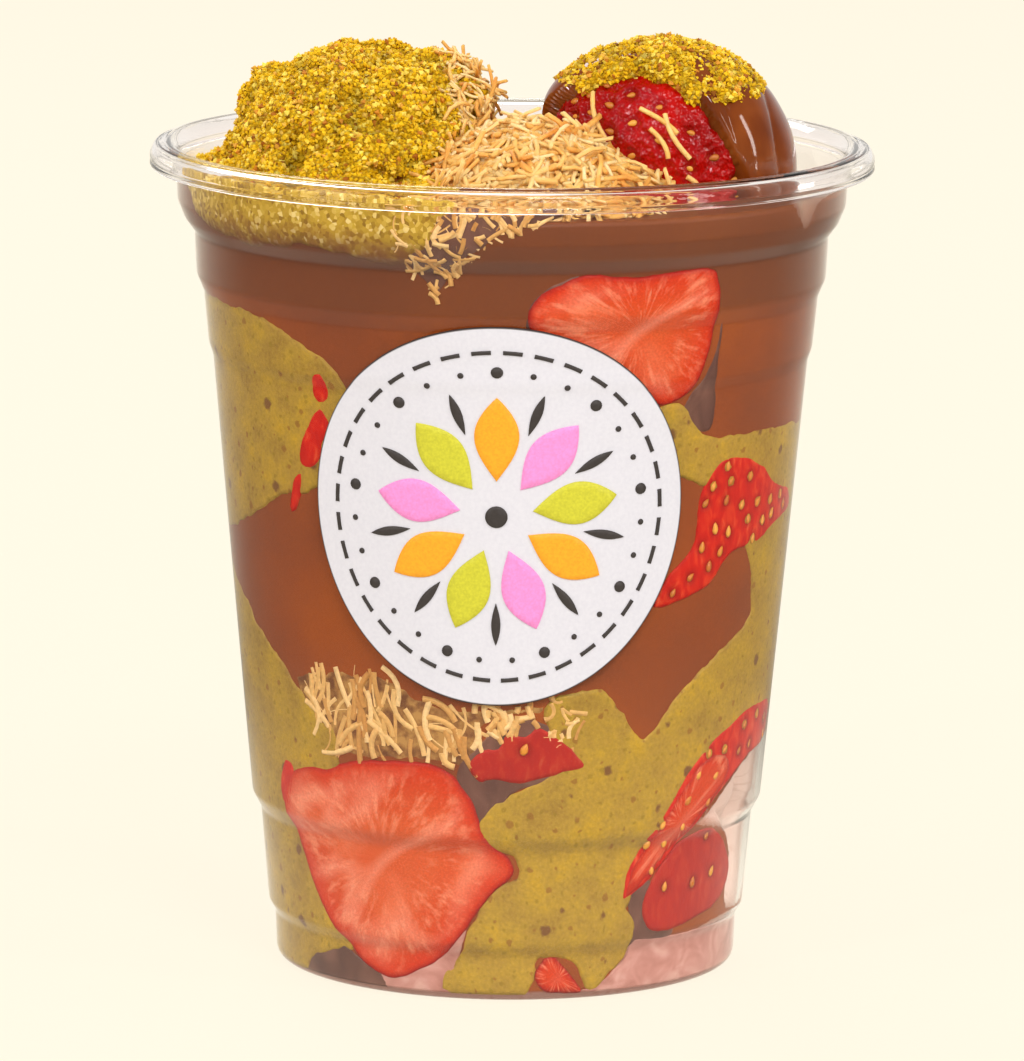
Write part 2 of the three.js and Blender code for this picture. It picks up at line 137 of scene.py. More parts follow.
# %% Floor, world and lights
FLOOR_COLOUR = "#FFF7E4"
FLOOR_GLOW = 0.93  # the rest of the floor's brightness is light that falls on it
FLOOR_WIDTH = 16

MIRRORED_GLOW = 0.28  # in reflections the room is dim, as round a photographer's table

paper, tree = new_material("pale paper floor")
lit = add(tree, "ShaderNodeBsdfDiffuse", {"Color": [0.09, 0.08, 0.065, 1]})
rays = add(tree, "ShaderNodeLightPath")
spot = add(tree, "ShaderNodeTexCoord").outputs["Object"]
away = add(tree, "ShaderNodeVectorMath", {0: spot}, operation="LENGTH")
back_of_spot = add(tree, "ShaderNodeSeparateXYZ", {0: spot}).outputs["Y"]
far = add(tree, "ShaderNodeMapRange", {  # creases mirror the lit paper behind and round the foot
    "Value": back_of_spot, "From Min": 0.15, "From Max": 0.6, "To Min": MIRRORED_GLOW, "To Max": FLOOR_GLOW})
mirrored = add(tree, "ShaderNodeMapRange", {
    "Value": away.outputs["Value"], "From Min": 0.07, "From Max": 0.18, "To Min": FLOOR_GLOW,
    "To Max": far.outputs[0]})
strength = add(tree, "ShaderNodeMapRange", {
    "Value": rays.outputs["Is Glossy Ray"], "To Min": FLOOR_GLOW, "To Max": mirrored.outputs[0]})
glow = add(tree, "ShaderNodeEmission", {"Color": linear(FLOOR_COLOUR), "Strength": strength.outputs[0]})
both = add(tree, "ShaderNodeAddShader", {0: lit.outputs[0], 1: glow.outputs[0]})
add(tree, "ShaderNodeOutputMaterial", {"Surface": both.outputs[0]})

floor_mesh = bpy.data.meshes.new("floor")
half = FLOOR_WIDTH / 2
FLOOR_DROP = -0.0002
corners = [(x * half, y * half, FLOOR_DROP) for x, y in ((-1, -1), (1, -1), (1, 1), (-1, 1))]
floor_mesh.from_pydata(corners, [], [(0, 1, 2, 3)])
floor_mesh.materials.append(paper)
floor = bpy.data.objects.new("floor", floor_mesh)
bpy.context.scene.collection.objects.link(floor)

world = bpy.data.worlds.new("studio")
world.use_nodes = True
tree = world.node_tree
tree.nodes.clear()
lighting = add(tree, "ShaderNodeBackground", {"Color": [1.0, 0.97, 0.93, 1], "Strength": 0.7})
seen_through = add(tree, "ShaderNodeBackground", {"Color": [1.0, 0.955, 0.90, 1], "Strength": 0.97})
way = add(tree, "ShaderNodeTexCoord").outputs["Generated"]
backward = add(tree, "ShaderNodeSeparateXYZ", {0: way}).outputs["Y"]
backdrop = add(tree, "ShaderNodeMapRange", {
    "Value": backward, "From Min": 0.3, "From Max": 0.9, "To Min": MIRRORED_GLOW, "To Max": 0.97})
mirrored = add(tree, "ShaderNodeBackground", {"Color": [1.0, 0.97, 0.93, 1], "Strength": backdrop.outputs[0]})
rays = add(tree, "ShaderNodeLightPath")
room = add(tree, "ShaderNodeMixShader", {
    0: rays.outputs["Is Glossy Ray"], 1: lighting.outputs[0], 2: mirrored.outputs[0]})
walls = add(tree, "ShaderNodeMixShader", {
    0: rays.outputs["Is Transmission Ray"], 1: room.outputs[0], 2: seen_through.outputs[0]})
add(tree, "ShaderNodeOutputWorld", {"Surface": walls.outputs[0]})
bpy.context.scene.world = world
bpy.context.scene.view_settings.view_transform = "Standard"


def soft_box(name, place, size, power, hex_colour="#FFFFFF"):
    """A large flat light that faces the middle of the cup."""
    data = bpy.data.lights.new(name, "AREA")
    data.shape = "RECTANGLE"
    data.size, data.size_y = size
    data.energy = power
    data.color = linear(hex_colour)[:3]
    light = bpy.data.objects.new(name, data)
    target = Vector((0, 0, 0.07))
    light.location = place
    light.rotation_euler = (target - Vector(place)).to_track_quat("-Z", "Y").to_euler()
    bpy.context.scene.collection.objects.link(light)


soft_box("key", (0.25, -0.90, 0.95), (0.32, 0.26), 5.8)
soft_box("fill", (-0.95, -0.50, 0.60), (0.4, 0.6), 3.4, "#FFF4E6")
soft_box("right strip", (0.95, -0.50, 0.45), (0.14, 0.7), 4.0, "#FFF8F0")
soft_box("low front", (0.05, -1.15, 0.10), (0.9, 0.18), 0.5)
soft_box("back", (-0.25, 0.85, 0.85), (0.6, 0.4), 4.0)
soft_box("sparkle", (-0.60, -0.85, 0.72), (0.05, 0.05), 2.2)
print("floor", FLOOR_WIDTH, "m wide, five soft lights and a small hard one for glints")

# %% [markdown]
# ## Shape helpers
# Everything against the wall is described by an angle round the cup and a height. Three helpers
# carry most pieces: one stitches a stack of rings into a closed skin, one rounds a drawn
# outline, and one fills an outline with triangles and gives it a front and a back.

# %% Rings, loops and closed pieces
def stitched(rings):
    """Points and faces of a skin over a stack of rings. A ring of one point is a pole."""
    starts = np.cumsum([0] + [len(ring) for ring in rings])
    faces = []
    for k in range(len(rings) - 1):
        here, there = len(rings[k]), len(rings[k + 1])
        around = max(here, there)
        for i in range(around):
            j = (i + 1) % around
            corners = (
                starts[k] + i % here, starts[k] + j % here,
                starts[k + 1] + j % there, starts[k + 1] + i % there,
            )
            faces.append(tuple(int(c) for c in dict.fromkeys(corners)))
    return np.concatenate(rings), faces


def smooth_loop(points, step):
    """A closed curve through the points, cut about every `step` millimetres."""
    points = np.asarray(points, float)
    curve = []
    for i in range(len(points)):
        a, b, c, d = (points[(i + k) % len(points)] for k in (-1, 0, 1, 2))
        count = max(1, round(float(np.linalg.norm(c - b)) / step))
        for t in np.arange(count) / count:
            curve.append(0.5 * (2 * b + (c - a) * t + (2 * a - 5 * b + 4 * c - d) * t ** 2
                                + (3 * b - a - 3 * c + d) * t ** 3))
    return np.array(curve)


def wobble(points, size, seed=0.0):
    """Smooth noise from -1 to 1 at each point, with lumps of about `size` millimetres."""
    shift = Vector((17.3 * seed, 5.1 * seed, 9.7 * seed))
    return np.array([noise.noise(Vector(p) / size + shift) for p in points])


def outward_normals(loop):
    """Sideways direction at each point of a closed flat loop, pointing out of it."""
    tangent = np.roll(loop, -1, axis=0) - np.roll(loop, 1, axis=0)
    tangent /= np.linalg.norm(tangent, axis=1)[:, None] + 1e-9
    turn = np.sum(loop[:, 0] * np.roll(loop[:, 1], -1) - np.roll(loop[:, 0], -1) * loop[:, 1])
    return np.sign(turn) * np.column_stack([tangent[:, 1], -tangent[:, 0]])


def inside_loop(points, loop):
    inside = np.zeros(len(points), bool)
    ends = np.roll(loop, -1, axis=0)
    for (x0, y0), (x1, y1) in zip(loop, ends):
        crosses = (y0 > points[:, 1]) != (y1 > points[:, 1])
        with np.errstate(divide="ignore", invalid="ignore"):
            at = x0 + (points[:, 1] - y0) * (x1 - x0) / (y1 - y0)
        inside ^= crosses & (points[:, 0] < at)
    return inside


def nearest_finder(points):
    """A search tree that finds the nearest of many points quickly."""
    finder = KDTree(len(points))
    for i, point in enumerate(points):
        finder.insert(point, i)
    finder.balance()
    return finder


def rim_distance(points, loop):
    """Distance in millimetres from each flat point to the nearest point of the loop."""
    finder = nearest_finder([(x, y, 0) for x, y in loop])
    return np.array([finder.find((x, y, 0))[2] for x, y in points])


def ease(share):
    """Turn an even run from 0 to 1 into one that starts and ends gently."""
    return share * share * (3 - 2 * share)


def staggered(low, high, spacing, row_step, first=0.0):
    """Flat places in rows, with every other row shifted by half a step."""
    rows = np.arange(low[1] + first, high[1], row_step)
    return np.array([
        (x + (0.5 * spacing if k % 2 else 0), y)
        for k, y in enumerate(rows) for x in np.arange(low[0], high[0], spacing)
    ])


EVEN_ROWS = 0.866  # rows this share of a step apart make triangles with equal sides


def filled(loop, spacing, insets):
    """Triangles inside a flat loop: its points, copies of it set in, then evenly spread points."""
    grid = staggered(loop.min(0), loop.max(0), spacing, spacing * EVEN_ROWS)
    grid = grid[inside_loop(grid, loop)]
    grid = grid[rim_distance(grid, loop) > insets[-1] + 0.5 * spacing]
    layers = [loop]
    for inset in insets:
        inner = loop - outward_normals(loop) * inset
        inner = inner[inside_loop(inner, loop)]
        layers.append(inner[rim_distance(inner, loop) > 0.93 * inset])
    corners = [Vector(p) for p in np.concatenate(layers + [grid])]
    points, _, faces, *_ = delaunay_2d_cdt(corners, [], [list(range(len(loop)))], 1, 1e-6)
    return np.array([tuple(p) for p in points]), [tuple(f) for f in faces]


def cushion(loop, spacing, insets, front, back):
    """A closed piece over a flat loop. front and back place its points by their rim distance."""
    points, faces = filled(loop, spacing, insets)
    rim = rim_distance(points, loop)
    on_rim = rim < 0.01
    rim[on_rim] = 0
    behind = np.where(on_rim, np.arange(len(points)), -1)
    behind[~on_rim] = len(points) + np.arange(np.sum(~on_rim))
    all_points = np.concatenate([front(points, rim), back(points, rim)[~on_rim]])
    all_faces = faces + [tuple(int(behind[c]) for c in reversed(f)) for f in faces]
    lay = np.concatenate([points, points[~on_rim]])
    facing = np.concatenate([np.ones(len(points)), np.zeros(np.sum(~on_rim))])
    rim = np.concatenate([rim, rim[~on_rim]])
    return all_points, all_faces, {"rim": rim, "core": rim / rim.max(), "lay": lay, "shown": facing}


def give(mesh, key, values):
    """Store a number, or two or three, at each point for materials and trees to read."""
    values = np.asarray(values, float)
    if values.ndim == 2:
        padded = np.zeros((len(values), 3))
        padded[:, :values.shape[1]] = values
        mesh.attributes.new(key, "FLOAT_VECTOR", "POINT").data.foreach_set("vector", padded.ravel())
    else:
        mesh.attributes.new(key, "FLOAT", "POINT").data.foreach_set("value", values)


def line_mesh(name, points, edges=()):
    """Loose points in millimetres, joined by edges if there are any."""
    mesh = bpy.data.meshes.new(name)
    mesh.from_pydata((np.asarray(points) * MM).tolist(), edges, [])
    return mesh


def points_of(mesh):
    """The points of a mesh in millimetres."""
    return np.array([v.co for v in mesh.vertices]) / MM


def shade_smooth(mesh, smooth=True):
    mesh.polygons.foreach_set("use_smooth", [smooth] * len(mesh.polygons))


def mesh_of(name, points, faces, attributes=None):
    """A mesh from points in millimetres, with its faces turned outwards."""
    mesh = bpy.data.meshes.new(name)
    mesh.from_pydata((np.asarray(points) * MM).tolist(), [], faces)
    for key, values in (attributes or {}).items():
        give(mesh, key, values)
    shell = bmesh.new()
    shell.from_mesh(mesh)
    bmesh.ops.recalc_face_normals(shell, faces=shell.faces)
    shell.to_mesh(mesh)
    shell.free()
    shade_smooth(mesh)
    return mesh


def place(name, mesh, material, slot, *nodes):
    """Put a finished mesh on the cup's body, in the place of the plain solids it stands for."""
    mesh.materials.clear()
    mesh.materials.append(material)
    thing = bpy.data.objects.new(name, mesh)
    bpy.context.scene.collection.objects.link(thing)
    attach(thing, "root")
    if nodes:
        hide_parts(*nodes)
    print(f"{name}: {len(mesh.polygons)} faces")
    return thing


# %% [markdown]
# ## The clear cup
# The real cup is thin PET, formed over a mould: stepped rings stiffen the wall, and the edge is
# rolled outwards into a lip. A lathe is the natural way to make it. The creases are measured
# heights and radii. Averaging them over half a millimetre rounds them as hot plastic does.

# %% Wall profile
CREASES = [  # outer radius and height
    (31.3, 1.6), (31.5, 6.4), (32.4, 8.0), (33.5, 20.8), (34.7, 23.0), (40.3, 83.0), (40.9, 84.8),
    (41.6, 91.8), (42.6, 94.2), (42.9, 100.0), (44.3, 101.9), (45.2, 104.2), (45.4, 108.8),
]
WALL = 0.7
ROUNDING = 0.28  # creases are rounded over this much above and below them
FLAT_RADIUS = 38.0  # radius on which outlines are drawn flat


def outer_radius(height):
    radii, heights = zip(*CREASES)
    height = np.asarray(height, float)
    around = np.linspace(-ROUNDING, ROUNDING, 9)
    return np.mean([np.interp(height + d, heights, radii) for d in around], axis=0)


def on_wall(angle, height, depth=0.0):
    """Points `depth` mm in from the wall's inner face, at an angle in degrees right of the front."""
    angle, radius = np.radians(angle), outer_radius(height) - WALL - depth
    return np.column_stack([radius * np.sin(angle), -radius * np.cos(angle), height + 0 * radius])


def wall_rows(low, high, coarse=3.0, fine=0.22):
    """Heights from low to high, close together at the creases."""
    rows = set(np.round(np.linspace(low, high, int((high - low) / coarse) + 2), 2))
    for _, crease in CREASES:
        rows |= {round(crease + k * fine, 2) for k in range(-4, 5)}
    return np.array(sorted(z for z in rows if low <= z <= high))


FOOT_OUTSIDE = [
    (25.4, 0.9), (26.4, 0.8), (27.0, 0.3), (27.6, 0.0), (29.8, 0.0), (30.6, 0.2), (31.1, 0.7), (31.3, 1.4),
]
LIP_OUTLINE = [
    (45.4, 108.2), (45.5, 109.6), (46.0, 110.6), (46.9, 111.2), (47.7, 111.0), (48.2, 110.2), (48.3, 109.2),
    (48.3, 108.8), (48.6, 108.7), (48.95, 108.8), (49.0, 109.3), (48.8, 109.6), (48.98, 109.9),
    (48.95, 110.6), (48.6, 111.3), (48.2, 111.7), (47.9, 111.6), (47.7, 111.9), (47.0, 112.0),
    (46.7, 111.8), (46.4, 111.95), (45.7, 111.7), (45.1, 111.0), (44.75, 109.9), (44.7, 109.2),
]
FOOT_INSIDE = [
    (30.5, 2.0), (30.2, 1.1), (29.6, 0.72), (27.9, 0.7), (27.3, 0.9), (26.8, 1.4), (26.2, 1.6),
]


def rounded(points, times=2):
    """Cut each corner of an open line twice as fine, which leaves a smooth curve."""
    points = np.array(points, float)
    for _ in range(times):
        near = 0.75 * points[:-1] + 0.25 * points[1:]
        far = 0.25 * points[:-1] + 0.75 * points[1:]
        points = np.concatenate([points[:1], np.stack([near, far], 1).reshape(-1, 2), points[-1:]])
    return points


# %% Cup material and piece
def ring(radius, height, around):
    if radius < 1e-6:
        return np.array([[0, 0, height]])
    angles = 2 * math.pi * np.arange(around) / around
    return np.column_stack([radius * np.sin(angles), -radius * np.cos(angles), np.full(around, height)])


def clear_plastic(name, in_shadow, look):
    """Plastic that bends the light seen through it, and that shadows cross almost unhindered."""
    plastic, tree = new_material(name)
    clear = add(tree, "ShaderNodeBsdfPrincipled", {"Transmission Weight": 1.0, **look})
    through = add(tree, "ShaderNodeBsdfTransparent", {"Color": in_shadow})
    rays = add(tree, "ShaderNodeLightPath")
    mixed = add(tree, "ShaderNodeMixShader", {
        0: rays.outputs["Is Shadow Ray"], 1: clear.outputs[0], 2: through.outputs[0]})
    add(tree, "ShaderNodeOutputMaterial", {"Surface": mixed.outputs[0]})
    return plastic


# Thermoformed PET: clear and glossy, with the faintest milkiness that a stack of cups shows.
pet = clear_plastic("clear PET", [0.97, 0.965, 0.96, 1], {
    "Base Color": linear("#FDFAFA"), "Roughness": 0.02, "IOR": 1.46, "Specular Tint": [0.9, 0.9, 0.9, 1]})
# The rolled lip was stretched thin as it curled, so it bends light less and looks paler.
lip_pet = clear_plastic("thin rolled PET", [0.95, 0.945, 0.94, 1], {
    "Base Color": linear("#FFFCFA"), "Roughness": 0.03, "IOR": 1.26})

CUP_SEGMENTS = 180
LIP_START = 109.0 * MM
up_rows = wall_rows(1.8, 107.4)
down_rows = wall_rows(2.6, 108.6)[::-1]
profile = np.concatenate([
    [(0, 0.9)], rounded(FOOT_OUTSIDE),
    np.column_stack([outer_radius(up_rows), up_rows]), rounded(LIP_OUTLINE),
    np.column_stack([outer_radius(down_rows) - WALL, down_rows]), rounded(FOOT_INSIDE), [(0, 1.6)],
])
cup_mesh = mesh_of("clear_cup", *stitched([ring(r, z, CUP_SEGMENTS) for r, z in profile]))
place("clear_cup", cup_mesh, pet, "clear_plastic", "cup")
cup_mesh.materials.append(lip_pet)
for face in cup_mesh.polygons:
    face.material_index = int(face.center.z > LIP_START)

# %% [markdown]
# ## What is pressed against the wall
# Each streak, slice and shred was pressed against the plastic, so it has a flat bright face with
# an organic outline, and a soft body behind. Its face reaches a little way into the wall. That
# leaves no air between food and plastic, which is what makes real wet food look wet through it.

# %% Outlines, as angle and height
STRAWBERRIES = {
    "strawberry_upper": (13, [
        (3, 93), (4, 96.5), (8, 98.5), (14, 100), (22, 99.4), (30, 99.8), (39, 99.6), (41, 94), (40, 88),
        (37, 83.5), (31, 81.5), (24, 83), (15, 86), (8, 90)]),
    "strawberry_right": (14, [
        (31, 54), (38, 54.5), (45, 56), (52, 60), (61, 60.5), (70, 62.5), (79, 63.5), (77, 66.5),
        (67, 68.5), (60, 71.5), (53, 73.3), (46, 73), (41, 69), (40, 62), (34, 58)]),
    "strawberry_lower_left": (15, [
        (-43, 30.8), (-35, 32.4), (-21, 33.2), (-13, 32.2), (-7.6, 28.4), (-4, 23), (1, 20), (2, 17.8),
        (-3, 15), (-8, 11), (-14, 6.5), (-21, 3.8), (-29, 2.2), (-36, 3.4), (-44, 7), (-51, 12), (-56, 18),
        (-60, 24), (-57, 28.5), (-49, 30.6)]),
    "strawberry_lower_right": (13, [
        (80, 37), (66, 37.6), (58, 36.2), (50, 34), (43, 30), (37, 25), (32, 20.5), (29, 16.5), (29, 13.4),
        (36, 16), (43, 20), (50, 24), (59, 28), (68, 30.5), (80, 32)]),
    "strawberry_bottom_right": (15, [
        (46, 21.2), (54, 22), (61, 20), (66, 16.5), (67, 13.5), (63, 11), (55, 9.6), (46, 8.6), (38, 8.6),
        (34.5, 11), (35.5, 14.8), (40, 18.3)]),
    "strawberry_centre": (10, [
        (-8.5, 33), (-5, 35.4), (-2, 35.6), (0, 37.6), (4, 37.2), (7, 38.4), (11, 37), (15, 35), (17, 32.6),
        (10, 31.6), (3, 30.6), (-3, 31), (-6, 30.6)]),
    "strawberry_bottom": (9, [
        (7.4, 3.6), (9.6, 6), (12.4, 6.2), (16, 4), (19.6, 1.2), (14, 1.0), (9, 1.6)]),
    "strawberry_left": (9, [
        (-40.6, 79.8), (-38.2, 80.2), (-36.4, 77.4), (-38.6, 75.6), (-39.4, 73.2), (-42.6, 71.6),
        (-45.8, 72.4), (-44.4, 75.8)]),
    "strawberry_back_upper": (14, [
        (150, 78), (158, 86), (170, 91), (184, 90), (194, 84), (197, 77), (190, 70), (176, 66), (160, 69)]),
    "strawberry_back_middle": (14, [
        (212, 50), (218, 58), (228, 63), (240, 62), (250, 55), (252, 46), (244, 38), (232, 35), (220, 40)]),
    "strawberry_back_lower": (15, [
        (142, 18), (146, 27), (156, 33), (170, 34), (184, 29), (191, 20), (186, 11), (172, 5), (158, 6),
        (147, 11)]),
    "strawberry_back_side": (13, [
        (108, 46), (112, 54), (122, 58), (134, 54), (138, 46), (132, 38), (120, 35), (111, 39)]),
}
CREAMS = {
    "pistachio_cream_left": (14, [
        (-100, 90), (-80, 92), (-60, 91.5), (-50, 90.5), (-43, 88.5), (-36, 86), (-32.5, 82), (-34, 75),
        (-41, 69.5), (-50, 67.8), (-60, 65), (-71, 62), (-84, 60.2), (-100, 58), (-114, 62), (-120, 72),
        (-114, 84)]),
    "pistachio_cream_lower_left": (14, [
        (-96, 57), (-83, 54), (-72, 51), (-65, 47.5), (-57, 44), (-52, 41.5), (-45, 37), (-40, 33), (-40, 8),
        (-45, 5.4), (-56, 3.4), (-62, 1.0), (-84, 1.0), (-106, 1.0), (-118, 9), (-114, 22), (-122, 34),
        (-112, 48)]),
    "pistachio_cream_right": (14, [
        (9, 41.3), (19, 43), (24, 40.5), (31, 35.4), (38, 40.5), (44, 43.4), (59, 49.4), (62, 53), (55, 63),
        (46, 69), (36, 71.5), (31, 75.5), (28, 80.4), (34, 81.4), (38, 78.6), (45, 76.2), (76, 75.4),
        (92, 73), (104, 66), (100, 54), (106, 44), (96, 37), (78, 36), (62, 33), (50, 30), (41, 24),
        (33, 20), (29, 16.5), (31, 14), (29, 12.3), (32, 10.2), (31, 6.2), (26, 3.4), (21, 1.6), (17, 5.4),
        (8, 6.2), (5, 1.0),
        (-13.5, 1.0), (-15, 3.2), (-12, 5), (-7, 11.4), (-2, 15.4), (3, 17.2), (2, 20.4), (-5, 22), (-5, 25),
        (-2, 27.6), (12, 32), (15, 33.4), (11, 36)]),
    "pistachio_cream_back": (13, [
        (128, 66), (140, 64), (152, 58), (166, 56), (178, 50), (190, 52), (204, 62), (214, 72), (226, 76),
        (232, 84), (220, 91), (208, 86), (200, 72), (188, 62), (174, 62), (160, 66), (146, 74), (132, 76)]),
    "pistachio_cream_back_lower": (13, [
        (198, 2.1), (198, 12), (205, 20), (203, 30), (192, 38), (176, 42), (158, 40), (148, 36), (166, 37.5),
        (188, 33), (196, 21), (191, 10), (184, 2.1)]),
}
PASTRY_PATCH = [
    (-53, 43), (-46, 44.6), (-38, 45.4), (-25, 45.2), (-18, 42.6), (-8, 41.4), (0, 42), (9, 42.2), (8, 39),
    (2, 39), (-4, 37.4), (-7, 32.4), (-20, 32.4), (-34, 32), (-44, 32.8), (-48, 37.4)]
CRUMB_WEDGE = [
    (-76, 110.2), (-72, 106), (-68, 103.6), (-61, 102.4), (-52, 101.4), (-44, 102), (-36, 102.6),
    (-28, 101.6), (-20, 101.2), (-15, 103.4), (-12, 107), (-11, 110.2), (-40, 110.4)]
PASTRY_WEDGE = [
    (-21, 109), (-20, 103), (-18, 99.6), (-15, 97.4), (-13.4, 95.4), (-11.6, 97.6), (-9, 100.2), (-4, 103.4),
    (2, 106), (9, 107.4), (14, 108.2), (14, 109)]
VOIDS = [  # depth, outline: air between the filling and the wall
    (1.3, [(54.5, 110), (57, 105.6), (60.2, 103), (62.6, 103.8), (65.5, 106.2), (72, 107), (80, 110)]),
    (9, [(100, 110), (106, 104), (130, 103), (160, 104), (172, 110)]),
    (3.2, [(47, 22.8), (52, 24.6), (62, 29), (70, 31), (84, 32), (94, 27), (92, 16), (84, 9.5), (72, 8.5),
         (66, 10.5), (66, 17), (60, 21)]),
    (1.3, [(28, 7), (36, 7.9), (48, 8), (62, 9), (76, 9), (92, 8), (98, 4), (96, 0), (60, 0), (30, 0)]),
]
POCKET_SLOPE = 3.6  # a pocket of air reaches its depth over this much
LOWEST_CONTENT = 0.95  # the inside of the cup's foot


def flat(outline):
    """An outline of angles and heights, drawn flat in millimetres."""
    return np.array([(math.radians(angle) * FLAT_RADIUS, height) for angle, height in outline])


def wall_patch(name, outline, into_wall, thickness, ragged=0.25, grow=0.0, seed=0,
               spacing=0.8, roll=0.6):
    """A piece pressed on the wall: a face `into_wall` mm deep in the plastic, a rolled rim, a body."""
    loop = smooth_loop(flat(outline), 0.7)
    level = np.column_stack([loop, 0 * loop[:, 0]])
    shake = ragged * (wobble(level, 3.0, seed) + 0.6 * wobble(level, 1.1, seed + 1))
    loop = loop + outward_normals(loop) * (shake + grow)[:, None]
    loop[:, 1] = np.maximum(loop[:, 1], LOWEST_CONTENT)

    def front(points, rim):
        edge = 1 - np.clip(rim / roll, 0, 1)
        sunk = roll * (1 - np.sqrt(1 - edge ** 2))
        return on_wall(np.degrees(points[:, 0] / FLAT_RADIUS), points[:, 1], sunk - into_wall)

    def back(points, rim):
        edge = 1 - np.clip(rim / (0.6 * thickness), 0, 1)
        bulge = thickness * np.sqrt(1 - edge ** 2)
        return on_wall(np.degrees(points[:, 0] / FLAT_RADIUS), points[:, 1], roll - into_wall + bulge)

    insets = [roll * share for share in (0.2, 0.55, 1.1)]
    points, faces, attributes = cushion(loop, spacing, insets, front, back)
    attributes["lay"] = attributes["lay"] - loop.mean(0)
    return mesh_of(name, points, faces, attributes)


# %% [markdown]
# ### Chocolate cream
# A smooth milk chocolate cream fills the cup. One closed skin is enough: rings up the wall, pushed
# in where air is trapped against the plastic, then rings across the top, where a spoon left it
# wavy. Near the trapped air only a thin pale film is left on the plastic side, so the colour fades.

# %% Chocolate body
BODY_SEGMENTS = 400
TOP_RINGS = 48
BODY_INTO_WALL = 0.12
BODY_FLOOR = 1.5
FILL_TOP = 107.3
FOOT_RINGS = (  # radius and height: down into the ring that the cup stands on
    (10, BODY_FLOOR), (20, BODY_FLOOR), (26.2, BODY_FLOOR), (27.2, 0.9), (27.9, 0.6), (29.7, 0.6),
    (30.2, 0.9))
AIR_BOWL = {"centre": (24, 20, 113.4), "radii": (27, 25, 11)}  # scooped out of the top, back right


def pocket_depth(angles, heights):
    """How far the chocolate stands back from the wall at each angle and height."""
    depth = np.zeros(len(angles))
    wrapped = np.where(angles < -170, angles + 360, angles)
    points = flat(np.column_stack([wrapped, heights]))
    for deepest, outline in VOIDS:
        loop = smooth_loop(flat(outline), 0.8)
        within = inside_loop(points, loop)
        if within.any():
            edge = np.clip(rim_distance(points[within], loop) / POCKET_SLOPE, 0, 1)
            depth[within] = np.maximum(depth[within], deepest * ease(edge))
    return depth


def top_height(x, y):
    """Height of the chocolate's top: level, with spoon waves, and hollow at the back right."""
    (cx, cy, cz), (rx, ry, rz) = AIR_BOWL["centre"], AIR_BOWL["radii"]
    inside = 1 - ((x - cx) / rx) ** 2 - ((y - cy) / ry) ** 2
    bowl = cz - rz * np.sqrt(np.clip(inside, 0, 1))
    swirl = np.sin(0.33 * np.hypot(x + 6, y - 16) + 2.2 * np.arctan2(y - 16, x + 6))
    return np.minimum(FILL_TOP - 0.6 + 0.55 * swirl, bowl + 0.3 * swirl)


body_angles = np.linspace(0, 360, BODY_SEGMENTS, endpoint=False) - 180
rows = np.append(wall_rows(BODY_FLOOR, 106.4, coarse=1.2), FILL_TOP)
rings, hollows = [np.array([[0, 0, BODY_FLOOR]])], [np.zeros(1)]
half_turn = (np.arange(BODY_SEGMENTS) + BODY_SEGMENTS // 2) % BODY_SEGMENTS  # rings start at the back
for radius, height in FOOT_RINGS:
    rings.append(ring(radius, height, BODY_SEGMENTS)[half_turn])
    hollows.append(np.full(BODY_SEGMENTS, 2.0 if radius > 27 else 0.0))
for z in rows:
    pockets = pocket_depth(body_angles, np.full(BODY_SEGMENTS, z))
    rings.append(on_wall(body_angles, np.full(BODY_SEGMENTS, z), pockets - BODY_INTO_WALL))
    hollows.append(pockets)
wall_edge = rings[-1]
for share in np.linspace(0.97, 0.03, TOP_RINGS):
    x, y = wall_edge[:, 0] * share, wall_edge[:, 1] * share
    blend = np.clip((1 - share) / 0.06, 0, 1)
    rings.append(np.column_stack([x, y, FILL_TOP + blend * (top_height(x, y) - FILL_TOP)]))
    hollows.append(np.zeros(BODY_SEGMENTS))
rings.append(np.array([[0, 0, float(top_height(np.zeros(1), np.zeros(1))[0])]]))
hollows.append(np.zeros(1))

# Milk chocolate cream: fine, dense and satin. Whipped sugar and cocoa leave slow shifts of brown.
chocolate_cream, tree = new_material("milk chocolate cream")
coords = add(tree, "ShaderNodeTexCoord").outputs["Object"]
drift = add(tree, "ShaderNodeTexNoise", {"Vector": coords, "Scale": per_mm(28), "Detail": 3.0})
browns = add(tree, "ShaderNodeValToRGB", {"Fac": drift.outputs["Fac"]}, stops=[
    (0.30, "#804224"), (0.52, "#90481F"), (0.72, "#9E5019")])
grain = add(tree, "ShaderNodeTexNoise", {"Vector": coords, "Scale": per_mm(0.32), "Detail": 3.0})
specks = add(tree, "ShaderNodeMapRange", {
    "Value": grain.outputs["Fac"], "From Min": 0.35, "From Max": 0.65, "To Min": 0.93, "To Max": 1.05})
grained = add(tree, "ShaderNodeMix", {
    "Factor": 1.0, 6: browns.outputs["Color"], 7: specks.outputs["Result"],
}, data_type="RGBA", blend_type="MULTIPLY")
hollow = add(tree, "ShaderNodeAttribute", attribute_name="hollow")
film = add(tree, "ShaderNodeMapRange", {
    "Value": hollow.outputs["Fac"], "From Min": 0.1, "From Max": 1.1, "To Min": 0.0, "To Max": 0.95})
height = add(tree, "ShaderNodeSeparateXYZ", {0: coords}).outputs["Z"]
top_band_shade = add(tree, "ShaderNodeMapRange", {  # painted shade: the top band, above the crease at 94 mm, is darker and greyer
    "Value": height, "From Min": 0.0935, "From Max": 0.0945, "To Min": 0.0, "To Max": 0.7})
top_band_shaded = add(tree, "ShaderNodeMix", {
    "Factor": top_band_shade.outputs[0], 6: grained.outputs[2], 7: linear("#663A22")}, data_type="RGBA")
level = add(tree, "ShaderNodeMapRange", {"Value": height, "From Min": 0.0, "From Max": 0.11})
